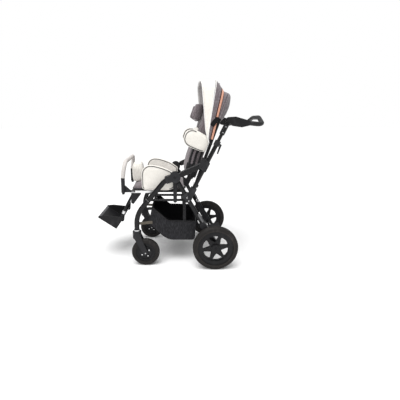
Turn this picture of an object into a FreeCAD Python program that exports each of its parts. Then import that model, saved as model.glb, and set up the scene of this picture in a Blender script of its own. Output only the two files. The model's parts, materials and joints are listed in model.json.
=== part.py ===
import FreeCAD, Part
import math
import os

V = FreeCAD.Vector
SIDES = (("left", -1), ("right", 1))

# All sizes are in millimetres and degrees. Places in the side view are given as
# (distance behind the rear axle, height above the floor), so what lies ahead is negative.

# Layout of the chassis
REAR_AXLE_X = 250.2
WHEELBASE = 471.0
REAR_TRACK = 576.0
FRAME_INSET = 60.0
HUB_AHEAD = 268.0
HUB_HEIGHT = 619.0
PLAY = 0.3
SINK = 1.0
PIN_PROUD = 2.0

# Rear wheels
REAR_WHEEL_RADIUS = 150.0
REAR_WHEEL_WIDTH = 42.0
REAR_RIM_RADIUS = 118.0
REAR_RIM_WIDTH = 30.0
REAR_HUB_RADIUS = 28.0
REAR_HUB_PROUD = 3.0
REAR_DISC_THICK = 16.0
REAR_SPOKES = 6
SPOKE_WIDTH = 15.0
SPOKE_PHASE = 40.0
SPOKE_HOLE_RADIUS = 86.0
SPOKE_HOLE_INNER = 37.0
SPOKE_HOLE_CORNER = 7.0
SPOKE_HOLE_CROWN = 1.0
RIM_LIP = 4.0
TYRE_SHOULDER = 14.0
AXLE_RADIUS = 8.0
AXLE_CAP = 7.0
BRAKE_DRUM_RADIUS = 22.0

# Casters
FRONT_WHEEL_RADIUS = 95.0
FRONT_WHEEL_WIDTH = 38.0
FRONT_RIM_RADIUS = 66.0
FRONT_RIM_WIDTH = 30.0
FRONT_HUB_RADIUS = 20.0
FRONT_TYRE_SHOULDER = 13.0
RIM_GROOVE_RADIUS = 46.0
RIM_GROOVE_WIDTH = 10.0
RIM_GROOVE_DEPTH = 4.0
CASTER_TRAIL = 57.0
FORK_GAP = 2.5
FORK_BLADE = 7.5
FORK_TOP_RADIUS = 23.0
FORK_HUB_RADIUS = 17.0
FORK_CROWN_BOTTOM = 196.0
CASTER_BOLT_RADIUS = 6.0
CASTER_STEM_RADIUS = 7.5
CASTER_STEM_LENGTH = 34.0
COLLAR_BOTTOM = 246.0
COLLAR_HEIGHT = 10.0
COLLAR_RADIUS = 20.0

# Front and rear legs
LEG_WIDE = 34.0
LEG_THICK = 22.0
REAR_LEG_WIDE = 30.0
TUBE_WALL = 2.0
FRONT_LEG_SLOPE = 17.7
SHOULDER_REACH = 67.0
SHOULDER_BEND = 100.0
LOWER_BEND_HEIGHT = 363.0
LOWER_BEND = 190.0
LEG_END_GAP = 4.0

# Fold hubs
HUB_RADIUS = 36.0
HUB_PIN_RADIUS = 8.0
HUB_HALF_WIDTH = 22.5
HUB_CHEEK = 5.5
EYE_RADIUS = 30.0
LUG_WIDTH = 26.0
LUG_REACH = 74.0
TUBE_START = 46.0
SOCKET_REACH = 64.0
SOCKET_WIDTH = 46.0
REAR_FOLD = 36.0
HANGER_THICK = 8.0
HANGER_BOSS_RADIUS = 12.0
HANGER_TOP_RADIUS = 15.0

# Fittings on the rear legs
CONNECTOR_FROM = 128.0
CONNECTOR_LENGTH = 58.0
CONNECTOR_HALF = 21.0
CONNECTOR_PROUD = 6.0
CONNECTOR_FILLET = 5.0
HOUSING_LENGTH = 186.0
HOUSING_HALF = 21.0
HOUSING_FOOT_RADIUS = 26.0
HOUSING_PROUD_IN = 6.0
HOUSING_WHEEL_GAP = 4.0
STAY_RADIUS = 9.0
STAY_LENGTH = 64.0
STAY_AFT = 12.0
STAY_ROUND = 3.0
AXLE_TUBE_RADIUS = 10.0

# Brake
BRAKE_SHAFT_AHEAD = 30.0
BRAKE_SHAFT_ABOVE = 22.0
BRAKE_SHAFT_RADIUS = 5.0
BRAKE_BOSS_RADIUS = 14.0
BRAKE_CAM_GAP = 0.5
BRAKE_CAM_LEAD = 18.0
BRAKE_CAM_WIDTH = 7.0
PEDAL_REACH = 100.0
PEDAL_HALF = 45.0
PEDAL_THICK = 6.0
PEDAL_RISE = 16.0

# Upper frame
LINK_WIDE = 40.0
LINK_THICK = 20.0
LINK_GAP = 6.0
BRACKET_AHEAD = 84.0
BRACKET_HEIGHT = 702.0
BRACKET_LENGTH = 72.0
BRACKET_WIDE = 58.0
BRACKET_PROUD = 4.0
BRACKET_SKEW = 8.0
BRACKET_CORNER = 9.0
PUSH_ANGLE = 63.8
PUSH_RADIUS = 14.0
PUSH_TOP_BEHIND = 5.0
PUSH_TOP_HEIGHT = 847.0
PUSH_LENGTH = 372.0
FOOT_LENGTH = 74.0
FOOT_HALF = 19.0
FOOT_PROUD = 4.0
CLAMP_RADIUS = 19.0
CLAMP_LENGTH = 36.0
CLAMP_LIP = 10.0
LEVER_LENGTH = 56.0
LEVER_WIDTH = 16.0
LEVER_THICK = 7.0
LEVER_EAR = 4.0
LEVER_PIN_RADIUS = 3.0
LEVER_EYE_RADIUS = 5.0
LEVER_DOWN = 9.0
EAR_REACH = 15.0

# Handle
STEM_RADIUS = 11.0
STEM_INSERT = 130.0
STEM_LENGTH = 151.0
SLEEVE_RADIUS = 16.5
SLEEVE_LENGTH = 68.0
SLEEVE_SHORT = 30.0
NECK_THICK = 14.0
NECK_WIDTH = 22.0
NECK_SINK = 4.0
KNUCKLE_RADIUS = 20.0
KNUCKLE_PIN_RADIUS = 6.0
KNUCKLE_ROOM = 2.0
HOUSING_HALF_WIDTH = 20.0
HOUSING_LENS = ((-17, -6), (-8, 21), (40, 24), (132, -2), (134, -30), (80, -42), (26, -34))
HOUSING_CORNER = 11.0
HOUSING_MOUTH = ((-60, 60), (0, 24), (26, -6), (44, -80), (-60, -80))
BUTTON_RADIUS = 9.0
BUTTON_PROUD = 3.5
BUTTON_TRAVEL = 3.0
BUTTON_SEAT = 2.0
BUTTON_ROOT = 1.0
BUTTON_ROUND = 1.2
BAR_RADIUS = 14.5
BAR_START = 30.0
BAR_START_DROP = 3.9
BAR_ARM_END = 216.0
BAR_ARM_DROP = 26.0
BAR_BEND = 48.0
BAR_ARCH_RISE = 20.0
BAR_ARCH_BEHIND = 231.0
BAR_ARCH_HALF = 80.0
BAR_ARCH_BEND = 160.0

# Seat
SEAT_RAIL_INSET = 58.0
SEAT_RAIL_SIZE = 16.0
SEAT_RAIL_CORNER = 2.0
SEAT_RAIL_HEIGHT = 499.0
SEAT_RAIL_FRONT = 575.0
SEAT_RAIL_REAR = 386.0
SIDE_RAIL_INSET = 49.0
SIDE_RAIL_RADIUS = 8.0
SIDE_RAIL_DROP = 14.0
SIDE_RAIL_FRONT = 426.0
SIDE_RAIL_REAR = 195.0
BASE_BAR_RADIUS = 8.5
BASE_BAR_DROP = 50.0
BASE_BAR_FRONT = 446.0
BASE_BAR_REAR = 187.0
BASE_CROSS_AHEAD = 215.0
BASE_CROSS_RADIUS = 7.5
POST_RADIUS = 6.0
RAIL_BLOCK = 28.0
RAIL_BLOCK_IN = 6.0
BOARD_THICK = 12.0
BOARD_FRONT_BACK = 7.0
BOARD_REAR = 205.0
CUSHION_HEIGHT = 40.0
CUSHION_CROWN = 8.0
CUSHION_SIDE = 5.0
CUSHION_INSET = 19.0
# Along the cushion: share of its length, of its height and of its width
CUSHION_STATIONS = (
    (0, 0.62, 0.94), (0.06, 0.86, 0.99), (0.3, 0.97, 0.98), (0.55, 0.98, 0.975), (0.9, 1, 0.99), (1, 0.8, 0.95),
)
GUARD_THICK = 34.0
GUARD_BULGE = 4.0
GUARD_OUT = 5.0
# Along the guard: distance behind the rear axle, lowest and highest point above the rail, share of its thickness
GUARD_STATIONS = (
    (-496, 34, 116, 0.45), (-486, 9, 146, 0.85), (-462, 0, 167, 1), (-402, 0, 171, 1),
    (-346, 0, 156, 1), (-302, 4, 136, 0.95), (-270, 24, 114, 0.8), (-250, 72, 101, 0.4),
)

# Pommel and bumper bar
POMMEL_BACK = 36.0
POMMEL_LIFT = 67.0
POMMEL_HEIGHT = 124.0
POMMEL_STEM_RADIUS = 8.0
POMMEL_STEM_LENGTH = 104.0
POMMEL_TIP = 2.0
POMMEL_BULGE = 4.0
# Up the pommel: share of its height, half its length and half its width
POMMEL_STATIONS = ((0, 28, 40), (0.3, 34, 45), (0.75, 33, 44), (1, 20, 28))
BUMPER_INSET = 38.0
BUMPER_REACH = 43.0
BUMPER_RISE = 107.0
BUMPER_LEAN = 16.0
BUMPER_RADIUS = 14.0
BUMPER_BEND = 60.0
SOCKET_LENGTH = 99.0
SOCKET_LIFT = 6.0
SOCKET_RADIUS = 13.0
TIP_RADIUS = 9.0
TIP_BELOW = 12.0
GUSSET_BEHIND = 34.0
GUSSET_STEP = 6.0
GUSSET_RISE = 4.0
GUSSET_HEIGHT = 58.0
GUSSET_THICK = 8.0

# Legrest and footplate
LEGREST_INSET = 89.0
STRUT_RADIUS = 8.0
STRUT_PIVOT_BACK = 15.0
STRUT_PIVOT_DOWN = 11.0
# From the legrest's pivot to the knee and the foot of its struts
STRUT_KNEE = (-41.0, -75.0)
STRUT_FOOT = (-88.0, -179.0)
STRUT_BEND = 90.0
STRUT_CROSS_DOWN = 16.0
STRUT_CROSS_RADIUS = 6.0
LEGREST_PIN_RADIUS = 5.0
LEGREST_EYE_RADIUS = 9.0
LEGREST_PLATE = 6.0
LEGREST_GUSSET = ((55, -5), (2, -76), (-12, -70))
LEGREST_CORNER = 5.0
STRUT_CLAMP_RADIUS = 12.0
STRUT_CLAMP_LENGTH = 22.0
STRUT_CLAMP_GAP = 2.0
FOOT_PIVOT_UP = 19.0
TRAY_INSET = 98.0
TRAY_WALL = 4.5
TRAY_LEAN = 0.05
# From the foot of the struts to the corners of the footplate's outline
TRAY_FRONT = (-183.0, 5.0)
TRAY_HEEL = (-43.0, -90.0)
TRAY_BACK = (14.0, -4.0)
TRAY_EDGE = (-117.0, 10.0)
TRAY_EAR_RADIUS = 12.0
TRAY_EAR_ROOT = 13.0
TRAY_EAR_SINK = 20.0
TRAY_CORNER = 7.0

# Basket
BASKET_INSET = 33.0
BASKET_WALL = 4.0
BASKET_CORNER = 3.0
BASKET_KNEE_IN = 2.8
BASKET_TOE_IN = 1.6
BASKET_LIP = (-427.0, 403.0)
BASKET_FRONT = (-450.0, 294.0)
BASKET_KNEE = (-354.0, 191.0)
BASKET_TOE = (-306.0, 163.0)
BASKET_HEEL = (-132.0, 163.0)
BASKET_REAR = (-124.0, 300.0)
BASKET_CUT = (-318.0, 305.0)
STRAP_WIDTH = 20.0
STRAP_THICK = 2.0
STRAP_HIGH = 384.0
STRAP_LOW = 284.0
STRAP_HIGH_LEG = -496.0
STRAP_LOW_LEG = -524.0
STRAP_CLOTH = -446.0

# Backrest
BACK_ANGLE = 70.8
BACK_HINGE = (-140.0, 532.0)
BACK_TUBE_INSET = 44.0
BACK_TUBE_RADIUS = 11.0
BACK_LENGTH = 650.0
BACK_TOP_BEND = 70.0
BACK_PIN_RADIUS = 6.0
BACK_LUG_RADIUS = 13.2
BACK_EYE_RADIUS = 13.0
BACK_PAD_FROM = 56.0
BACK_PAD_TO = 650.0
BACK_PAD_THICK = 92.0
BACK_PAD_INSET = 24.0
BACK_PAD_CROWN = 5.0
# Up the back pad: share of its length, of its thickness and of its width
BACK_STATIONS = (
    (0, 0.75, 0.93), (0.06, 0.96, 0.98), (0.3, 1, 0.985), (0.6, 0.95, 0.97), (0.93, 0.86, 0.95), (1, 0.6, 0.86),
)
FLAP_FROM = 470.0
FLAP_TO = 640.0
FLAP_THICK = 30.0
FLAP_INSET = 34.0
FLAP_CROWN = 7.0
FLAP_SIDE = 3.0
# Up the flap: share of its length and of its thickness
FLAP_STATIONS = ((0, 0.4), (0.3, 0.95), (0.7, 1), (1, 0.45))
TRUNK_THICK = 24.0
TRUNK_FROM = 246.0
TRUNK_TO = 372.0
TRUNK_REACH = 181.0
TRUNK_BULGE = 3.0
TRUNK_IN = 3.0
TRUNK_EDGE = 2.0
# Forward along the trunk pad: share of its reach, inset of its low and high edge, share of its thickness
TRUNK_STATIONS = (
    (0, 10, 36, 0.8), (0.12, 2, 16, 1), (0.45, 1, 3, 1),
    (0.8, 10, 4, 1), (0.94, 26, 22, 0.85), (1, 42, 42, 0.5),
)
HEAD_THICK = 28.0
HEAD_FROM = 424.0
HEAD_TO = 548.0
HEAD_INSET = 56.0
HEAD_REACH = 180.0
HEAD_BULGE = 3.0
HEAD_SEAT = 2.1
HEAD_WING_FORWARD = 26.0
HEAD_BEND_FORWARD = 6.0
HEAD_BEND_IN = 22.0
HEAD_THIN = 0.6

# Canopy
CANOPY_PIVOT_UP = 319.0
CANOPY_INSET = 29.0
CANOPY_WALL = 3.5
CANOPY_TOP = 417.0
CANOPY_SHOULDER = 60.0
CANOPY_CROWN = 12.0
CANOPY_FOOT = 17.0
CANOPY_FRONT_ANGLE = 112.0
CANOPY_SEAM_ANGLE = 86.6
# The panel's outline from its pivots: foot, rear top, front top, brow and front foot
CANOPY_PANEL = ((4, -6), (60, 437), (-68, 437), (-34, 89), (-10, -2))
CANOPY_EYE = 19.0
BAND_FROM_ANGLE = 85.4
BAND_TO_ANGLE = 76.0
BAND_FOOT = 44.0
BAND_DROP = 62.0
CANOPY_PIN_RADIUS = 4.0
CANOPY_HEAD_RADIUS = 10.0
CANOPY_HEAD_THICK = 1.5
CANOPY_CLAMP_THICK = 5.0
CANOPY_CLAMP_LOW = (-12, -14)
CANOPY_CLAMP_HIGH = (12, 18)
CANOPY_CLAMP_LOW_RADIUS = 15.0
CANOPY_CLAMP_HIGH_RADIUS = 13.0
CANOPY_LINK_RADIUS = 9.0
CANOPY_LINK_END = 8.0
CANOPY_CLAMP_UP = 142.0

# Places worked out from those sizes
REAR_WHEEL_Y = REAR_TRACK / 2
FRAME_Y = REAR_WHEEL_Y - FRAME_INSET
FRAME_TRACK = 2 * FRAME_Y
LEG_IN = FRAME_Y - LEG_THICK / 2
LEG_OUT = FRAME_Y + LEG_THICK / 2
HUB_IN = FRAME_Y - HUB_HALF_WIDTH
HUB_OUT = FRAME_Y + HUB_HALF_WIDTH
HOUSING_OUT = REAR_WHEEL_Y - REAR_WHEEL_WIDTH / 2 - REAR_HUB_PROUD - HOUSING_WHEEL_GAP
SEAT_RAIL_Y = FRAME_Y - SEAT_RAIL_INSET
SIDE_RAIL_Y = FRAME_Y - SIDE_RAIL_INSET
CUSHION_HALF = SEAT_RAIL_Y - CUSHION_INSET
BUMPER_Y = FRAME_Y - BUMPER_INSET
LEGREST_Y = FRAME_Y - LEGREST_INSET
TRAY_HALF = FRAME_Y - TRAY_INSET
BASKET_HALF = FRAME_Y - BASKET_INSET
BACK_TUBE_Y = FRAME_Y - BACK_TUBE_INSET
BACK_PAD_HALF = BACK_TUBE_Y - BACK_PAD_INSET
FLAP_HALF = BACK_TUBE_Y - FLAP_INSET
HEAD_HALF = BACK_TUBE_Y - HEAD_INSET
CANOPY_HALF = FRAME_Y - CANOPY_INSET
BUMPER_AHEAD = SEAT_RAIL_FRONT + BUMPER_REACH
BOARD_FRONT = SEAT_RAIL_FRONT - BOARD_FRONT_BACK
POMMEL_AHEAD = SEAT_RAIL_FRONT - POMMEL_BACK
SIDE_RAIL_HEIGHT = SEAT_RAIL_HEIGHT - SIDE_RAIL_DROP
BASE_BAR_HEIGHT = SEAT_RAIL_HEIGHT - BASE_BAR_DROP
POMMEL_BOTTOM = SEAT_RAIL_HEIGHT + POMMEL_LIFT
SOCKET_BOTTOM = SEAT_RAIL_HEIGHT + SOCKET_LIFT
SOCKET_TOP = SOCKET_BOTTOM + SOCKET_LENGTH
TIP_BOTTOM = SOCKET_BOTTOM - TIP_BELOW
BUMPER_TOP = SOCKET_TOP + BUMPER_RISE
RAIL_TOP = SEAT_RAIL_HEIGHT + SEAT_RAIL_SIZE
BOARD_TOP = SEAT_RAIL_HEIGHT + BOARD_THICK
COLLAR_TOP = COLLAR_BOTTOM + COLLAR_HEIGHT


def side(x, z):
    """A point of the side view, on the middle plane."""
    return V(REAR_AXLE_X + x, 0, z)


def out(point, y):
    """The same point of the side view, moved out sideways to y."""
    return V(point.x, y, point.z)


def turned(angle):
    """The direction in the side view at an angle above straight back."""
    return V(math.cos(math.radians(angle)), 0, math.sin(math.radians(angle)))


def square(direction):
    """The direction a quarter turn up from a direction of the side view."""
    return V(-direction.z, 0, direction.x)


AXLE = side(0, REAR_WHEEL_RADIUS)
HUB = side(-HUB_AHEAD, HUB_HEIGHT)
SWIVEL = side(-WHEELBASE - CASTER_TRAIL, 0)
CASTER_AXLE = side(-WHEELBASE, FRONT_WHEEL_RADIUS)
LEG_DIR = (AXLE - HUB).normalize()
LEG_AFT = square(LEG_DIR)
LEG_LENGTH = HUB.distanceToPoint(AXLE)
BRACKET = side(-BRACKET_AHEAD, BRACKET_HEIGHT)
LINK_DIR = (BRACKET - HUB).normalize()
PUSH_DIR = turned(PUSH_ANGLE)
PUSH_AFT = V(PUSH_DIR.z, 0, -PUSH_DIR.x)
PUSH_TOP = side(PUSH_TOP_BEHIND, PUSH_TOP_HEIGHT)
PUSH_FOOT = PUSH_TOP - PUSH_DIR * PUSH_LENGTH
KNUCKLE = PUSH_TOP + PUSH_DIR * STEM_LENGTH
HINGE = side(*BACK_HINGE)
BACK_DIR = turned(BACK_ANGLE)
BACK_FWD = square(BACK_DIR)
BRAKE_SHAFT = AXLE + V(-BRAKE_SHAFT_AHEAD, 0, BRAKE_SHAFT_ABOVE)
LEGREST_PIVOT = side(STRUT_PIVOT_BACK - SEAT_RAIL_FRONT, SEAT_RAIL_HEIGHT - STRUT_PIVOT_DOWN)
STRUT_BEND_AT = LEGREST_PIVOT + V(STRUT_KNEE[0], 0, STRUT_KNEE[1])
STRUT_END = LEGREST_PIVOT + V(STRUT_FOOT[0], 0, STRUT_FOOT[1])
STRUT_DIR = (STRUT_END - STRUT_BEND_AT).normalize()
FOOT_PIVOT = STRUT_END - STRUT_DIR * FOOT_PIVOT_UP


def on_back(along, forward, y):
    """A point of the backrest: up along its tubes, forward from them, and sideways."""
    return out(HINGE + BACK_DIR * along + BACK_FWD * forward, y)


CANOPY_PIVOT = on_back(CANOPY_PIVOT_UP, 0, 0)


def corner(a, b, c, radius):
    """Start, middle and end of the arc that rounds the corner b between a and c."""
    u = (a - b).normalize()
    w = (c - b).normalize()
    half = u.getAngle(w) / 2
    start = b + u * (radius / math.tan(half))
    end = b + w * (radius / math.tan(half))
    middle = b + (u + w).normalize() * (radius / math.sin(half) - radius)
    return start, middle, end


def path(points, radii):
    """An open run of straight lines whose corners are rounded."""
    edges = []
    here = points[0]
    for a, b, c, radius in zip(points, points[1:], points[2:], radii):
        start, middle, end = corner(a, b, c, radius)
        edges.append(Part.LineSegment(here, start).toShape())
        edges.append(Part.Arc(start, middle, end).toShape())
        here = end
    edges.append(Part.LineSegment(here, points[-1]).toShape())
    return Part.Wire(edges)


def outline(points, radius):
    """A closed outline of straight lines whose corners are all rounded alike."""
    count = len(points)
    cuts = [corner(points[i - 1], points[i], points[(i + 1) % count], radius) for i in range(count)]
    edges = []
    for i in range(count):
        start, middle, end = cuts[i]
        edges.append(Part.Arc(start, middle, end).toShape())
        edges.append(Part.LineSegment(end, cuts[(i + 1) % count][0]).toShape())
    return Part.Wire(edges)


def slab(wire, sign, y_in, y_out):
    """A flat outline of the side view, as thick as from y_in to y_out on one side."""
    face = Part.Face(wire)
    face.translate(V(0, sign * y_in, 0))
    return face.extrude(V(0, sign * (y_out - y_in), 0))


def slab_of(points, radius, sign, y_in, y_out):
    """A slab with rounded corners, or with sharp ones where the radius is nought."""
    wire = outline(points, radius) if radius else Part.makePolygon(points + points[:1])
    return slab(wire, sign, y_in, y_out)


def barrel(centre, radius, sign, y_in, y_out):
    """A round bar across the stroller."""
    return Part.makeCylinder(radius, y_out - y_in, out(centre, sign * y_in), V(0, sign, 0))


def across(centre, radius, half):
    """A round bar right across the stroller, as far out on both sides."""
    return Part.makeCylinder(radius, 2 * half, out(centre, -half), V(0, 1, 0))


def rod(a, b, radius):
    """A round bar from a to b."""
    return Part.makeCylinder(radius, a.distanceToPoint(b), a, b - a)


def arm(p, q, width, sign, y_in, y_out):
    """A flat bar of even width from p to q, with square ends."""
    half = square((q - p).normalize()) * (width / 2)
    return slab_of([p - half, q - half, q + half, p + half], 0, sign, y_in, y_out)


def blade(p, q, radius_p, radius_q, sign, y_in, y_out):
    """A flat bar that tapers from one round end to the other."""
    along = (q - p).normalize()
    lift = math.acos((radius_p - radius_q) / p.distanceToPoint(q))
    up = along * math.cos(lift) + square(along) * math.sin(lift)
    down = along * math.cos(lift) - square(along) * math.sin(lift)
    edges = [
        Part.LineSegment(p + up * radius_p, q + up * radius_q).toShape(),
        Part.Arc(q + up * radius_q, q + along * radius_q, q + down * radius_q).toShape(),
        Part.LineSegment(q + down * radius_q, p + down * radius_p).toShape(),
        Part.Arc(p + down * radius_p, p - along * radius_p, p + up * radius_p).toShape(),
    ]
    return slab(Part.Wire(edges), sign, y_in, y_out)


def oval_section(start, direction, wide, thick):
    """The section of an oval tube: flat on its two sides, round at front and back."""
    flat = square(direction) * ((wide - thick) / 2)
    round_end = square(direction) * (wide / 2)
    edge = V(0, thick / 2, 0)
    edges = [
        Part.LineSegment(start - flat + edge, start + flat + edge).toShape(),
        Part.Arc(start + flat + edge, start + round_end, start + flat - edge).toShape(),
        Part.LineSegment(start + flat - edge, start - flat - edge).toShape(),
        Part.Arc(start - flat - edge, start - round_end, start - flat + edge).toShape(),
    ]
    return Part.Wire(edges)


def oval_bar(points, radii, wide, thick):
    """A solid oval bar along a bent path of the side view."""
    direction = (points[1] - points[0]).normalize()
    section = oval_section(points[0], direction, wide, thick)
    if len(points) == 2:
        return Part.Face(section).extrude(points[1] - points[0])
    return path(points, radii).makePipeShell([section], True, False)


def round_bar(points, radii, radius):
    """A solid round bar along a bent path."""
    ring = Part.makeCircle(radius, points[0], points[1] - points[0])
    return path(points, radii).makePipeShell([Part.Wire(ring)], True, False)


def pad_section(centre, u, v, half_u, half_v, bulges):
    """A closed section of a pad: four corners joined by shallow arcs below, outside, above and inside."""
    signs = ((-1, -1), (1, -1), (1, 1), (-1, 1))
    corners = [centre + u * (half_u * a) + v * (half_v * b) for a, b in signs]
    middles = [
        centre - v * (half_v + bulges[0]),
        centre + u * (half_u + bulges[1]),
        centre + v * (half_v + bulges[2]),
        centre - u * (half_u + bulges[3]),
    ]
    edges = []
    for i in range(4):
        if bulges[i]:
            edge = Part.Arc(corners[i], middles[i], corners[(i + 1) % 4])
        else:
            edge = Part.LineSegment(corners[i], corners[(i + 1) % 4])
        edges.append(edge.toShape())
    return Part.Wire(edges)


def fused(shapes):
    """Several shapes grown into one piece."""
    return shapes[0].multiFuse(shapes[1:]).removeSplitter()


def keep(name, *shapes):
    """Write one node, made of one or more separate solids."""
    solids = [solid for shape in shapes for solid in shape.Solids]
    for solid in solids:
        if not solid.isValid() or solid.Volume < 1:
            raise ValueError(f"{name} has a bad solid")
    Part.makeCompound(solids).exportStep(f"parts/{name}.step")
    BOXES.append(Part.makeCompound(solids).BoundBox)
    print(f"{name}: {len(solids)} solids, {sum(solid.Volume for solid in solids) / 1000:.1f} cm3")


BOXES = []


# Wheels

def spoke_hole(angle):
    """One of the rounded windows between two spokes, as a bar across the wheel."""
    half = math.degrees(math.pi / REAR_SPOKES - math.asin(SPOKE_WIDTH / 2 / SPOKE_HOLE_RADIUS))
    window = [
        AXLE + turned(angle) * SPOKE_HOLE_INNER,
        AXLE + turned(angle - half) * SPOKE_HOLE_RADIUS,
        AXLE + turned(angle) * (SPOKE_HOLE_RADIUS + SPOKE_HOLE_CROWN),
        AXLE + turned(angle + half) * SPOKE_HOLE_RADIUS,
    ]
    return slab(outline(window, SPOKE_HOLE_CORNER), 1, -REAR_TRACK, REAR_TRACK)


def rear_rim(sign):
    half = REAR_RIM_WIDTH / 2
    disc_half = REAR_DISC_THICK / 2
    hub_out = REAR_WHEEL_Y + REAR_WHEEL_WIDTH / 2
    hub_in = REAR_WHEEL_Y - REAR_WHEEL_WIDTH / 2
    ring = barrel(AXLE, REAR_RIM_RADIUS, sign, REAR_WHEEL_Y - half, REAR_WHEEL_Y + half)
    ring = ring.cut(barrel(AXLE, SPOKE_HOLE_RADIUS + RIM_LIP, sign, REAR_WHEEL_Y - half, REAR_WHEEL_Y + half))
    disc = barrel(AXLE, REAR_RIM_RADIUS - SINK, sign, REAR_WHEEL_Y - disc_half, REAR_WHEEL_Y + disc_half)
    for spoke in range(REAR_SPOKES):
        disc = disc.cut(spoke_hole(SPOKE_PHASE + spoke * 360 / REAR_SPOKES))
    hub = barrel(AXLE, REAR_HUB_RADIUS, sign, hub_in, hub_out)
    bore = barrel(AXLE, AXLE_RADIUS + PLAY, sign, hub_in - SINK, hub_out - AXLE_CAP + PLAY)
    return fused([ring, disc, hub]).cut(bore)


def brake_drum(sign):
    """The drum on the inner face of the hub, which the brake's cam locks."""
    root = REAR_WHEEL_Y - REAR_WHEEL_WIDTH / 2
    drum = barrel(AXLE, BRAKE_DRUM_RADIUS, sign, root - REAR_HUB_PROUD, root)
    return drum.cut(barrel(AXLE, AXLE_RADIUS + PLAY, sign, 0, REAR_TRACK))


def tyre(centre, y, radius, rim_radius, width, shoulder, sign):
    tread = barrel(centre, radius, sign, y - width / 2, y + width / 2)
    rounded = [edge for edge in tread.Edges if edge.BoundBox.YLength < SINK]
    tread = tread.makeFillet(shoulder, rounded)
    return tread.cut(barrel(centre, rim_radius, sign, y - width, y + width))


def front_rim(sign):
    half = FRONT_RIM_WIDTH / 2
    hub_half = FRONT_WHEEL_WIDTH / 2
    disc = barrel(CASTER_AXLE, FRONT_RIM_RADIUS, sign, FRAME_Y - half, FRAME_Y + half)
    hub = barrel(CASTER_AXLE, FRONT_HUB_RADIUS, sign, FRAME_Y - hub_half, FRAME_Y + hub_half)
    rim = disc.fuse(hub)
    outer = RIM_GROOVE_RADIUS + RIM_GROOVE_WIDTH / 2
    for low, high in ((-half, RIM_GROOVE_DEPTH - half), (half - RIM_GROOVE_DEPTH, half)):
        groove = barrel(CASTER_AXLE, outer, sign, FRAME_Y + low, FRAME_Y + high)
        inner = barrel(CASTER_AXLE, outer - RIM_GROOVE_WIDTH, sign, FRAME_Y + low, FRAME_Y + high)
        rim = rim.cut(groove.cut(inner))
    return rim.cut(barrel(CASTER_AXLE, CASTER_BOLT_RADIUS + PLAY, sign, 0, FRAME_TRACK))


def caster_fork(sign):
    """Stem, crown and two blades, with the bolt that carries the wheel."""
    gap = FRONT_WHEEL_WIDTH / 2 + FORK_GAP
    full = gap + FORK_BLADE
    shoulder = out(SWIVEL, 0) + V(0, 0, FORK_CROWN_BOTTOM + FORK_TOP_RADIUS)
    crown_top = COLLAR_BOTTOM - PLAY
    pieces = [
        Part.makeCylinder(full, crown_top - FORK_CROWN_BOTTOM, V(SWIVEL.x, sign * FRAME_Y, FORK_CROWN_BOTTOM)),
        Part.makeCylinder(CASTER_STEM_RADIUS, COLLAR_HEIGHT + CASTER_STEM_LENGTH + PLAY,
                          V(SWIVEL.x, sign * FRAME_Y, crown_top)),
        barrel(CASTER_AXLE, CASTER_BOLT_RADIUS, sign, FRAME_Y - full, FRAME_Y + full),
    ]
    for low, high in ((gap, full), (-full, -gap)):
        pieces.append(blade(shoulder, CASTER_AXLE, FORK_TOP_RADIUS, FORK_HUB_RADIUS,
                            sign, FRAME_Y + low, FRAME_Y + high))
    return fused(pieces)


# Legs and their fittings

def front_leg_points(sign):
    slope = turned(180 + FRONT_LEG_SLOPE)
    return [
        out(HUB + slope * (EYE_RADIUS + LEG_END_GAP), sign * FRAME_Y),
        out(HUB + slope * SHOULDER_REACH, sign * FRAME_Y),
        V(SWIVEL.x, sign * FRAME_Y, LOWER_BEND_HEIGHT),
        V(SWIVEL.x, sign * FRAME_Y, COLLAR_TOP),
    ]


def front_leg(sign, wall):
    """The bent front leg, as a solid bar whose section is smaller by a wall all round."""
    bends = [SHOULDER_BEND, LOWER_BEND]
    return oval_bar(front_leg_points(sign), bends, LEG_WIDE - 2 * wall, LEG_THICK - 2 * wall)


def caster_collar(sign):
    base = V(SWIVEL.x, sign * FRAME_Y, COLLAR_BOTTOM)
    ring = Part.makeCylinder(COLLAR_RADIUS, COLLAR_HEIGHT, base)
    return ring.cut(Part.makeCylinder(CASTER_STEM_RADIUS + PLAY, COLLAR_HEIGHT, base))


def fold_hub(sign):
    """Two cheeks on a pin, the socket of the front leg, and the hanger that carries the seat."""
    slope = turned(180 + FRONT_LEG_SLOPE)
    socket = arm(HUB, HUB + slope * SOCKET_REACH, SOCKET_WIDTH, sign, HUB_IN, HUB_OUT)
    room = barrel(HUB, EYE_RADIUS + SINK, sign, HUB_IN + HUB_CHEEK, HUB_OUT - HUB_CHEEK)
    folded = turned(math.degrees(math.atan2(LEG_DIR.z, LEG_DIR.x)) - REAR_FOLD)
    relief = arm(HUB, HUB + folded * LUG_REACH, LUG_WIDTH + 4 * PLAY, sign, HUB_IN + HUB_CHEEK, FRAME_Y)
    boss = V(HUB.x, 0, BASE_BAR_HEIGHT)
    hanger_in = HUB_IN - HANGER_THICK
    pieces = [
        barrel(HUB, HUB_RADIUS, sign, HUB_IN, HUB_IN + HUB_CHEEK),
        barrel(HUB, HUB_RADIUS, sign, HUB_OUT - HUB_CHEEK, HUB_OUT),
        socket.cut(room).cut(relief).cut(front_leg(sign, 0)),
        barrel(HUB, HUB_PIN_RADIUS, sign, HUB_IN, HUB_OUT),
        blade(HUB, boss, HANGER_TOP_RADIUS, HANGER_BOSS_RADIUS, sign, hanger_in, HUB_IN),
        barrel(boss, HANGER_BOSS_RADIUS, sign, SIDE_RAIL_Y + BASE_BAR_RADIUS, hanger_in + SINK),
    ]
    return fused(pieces)


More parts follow.
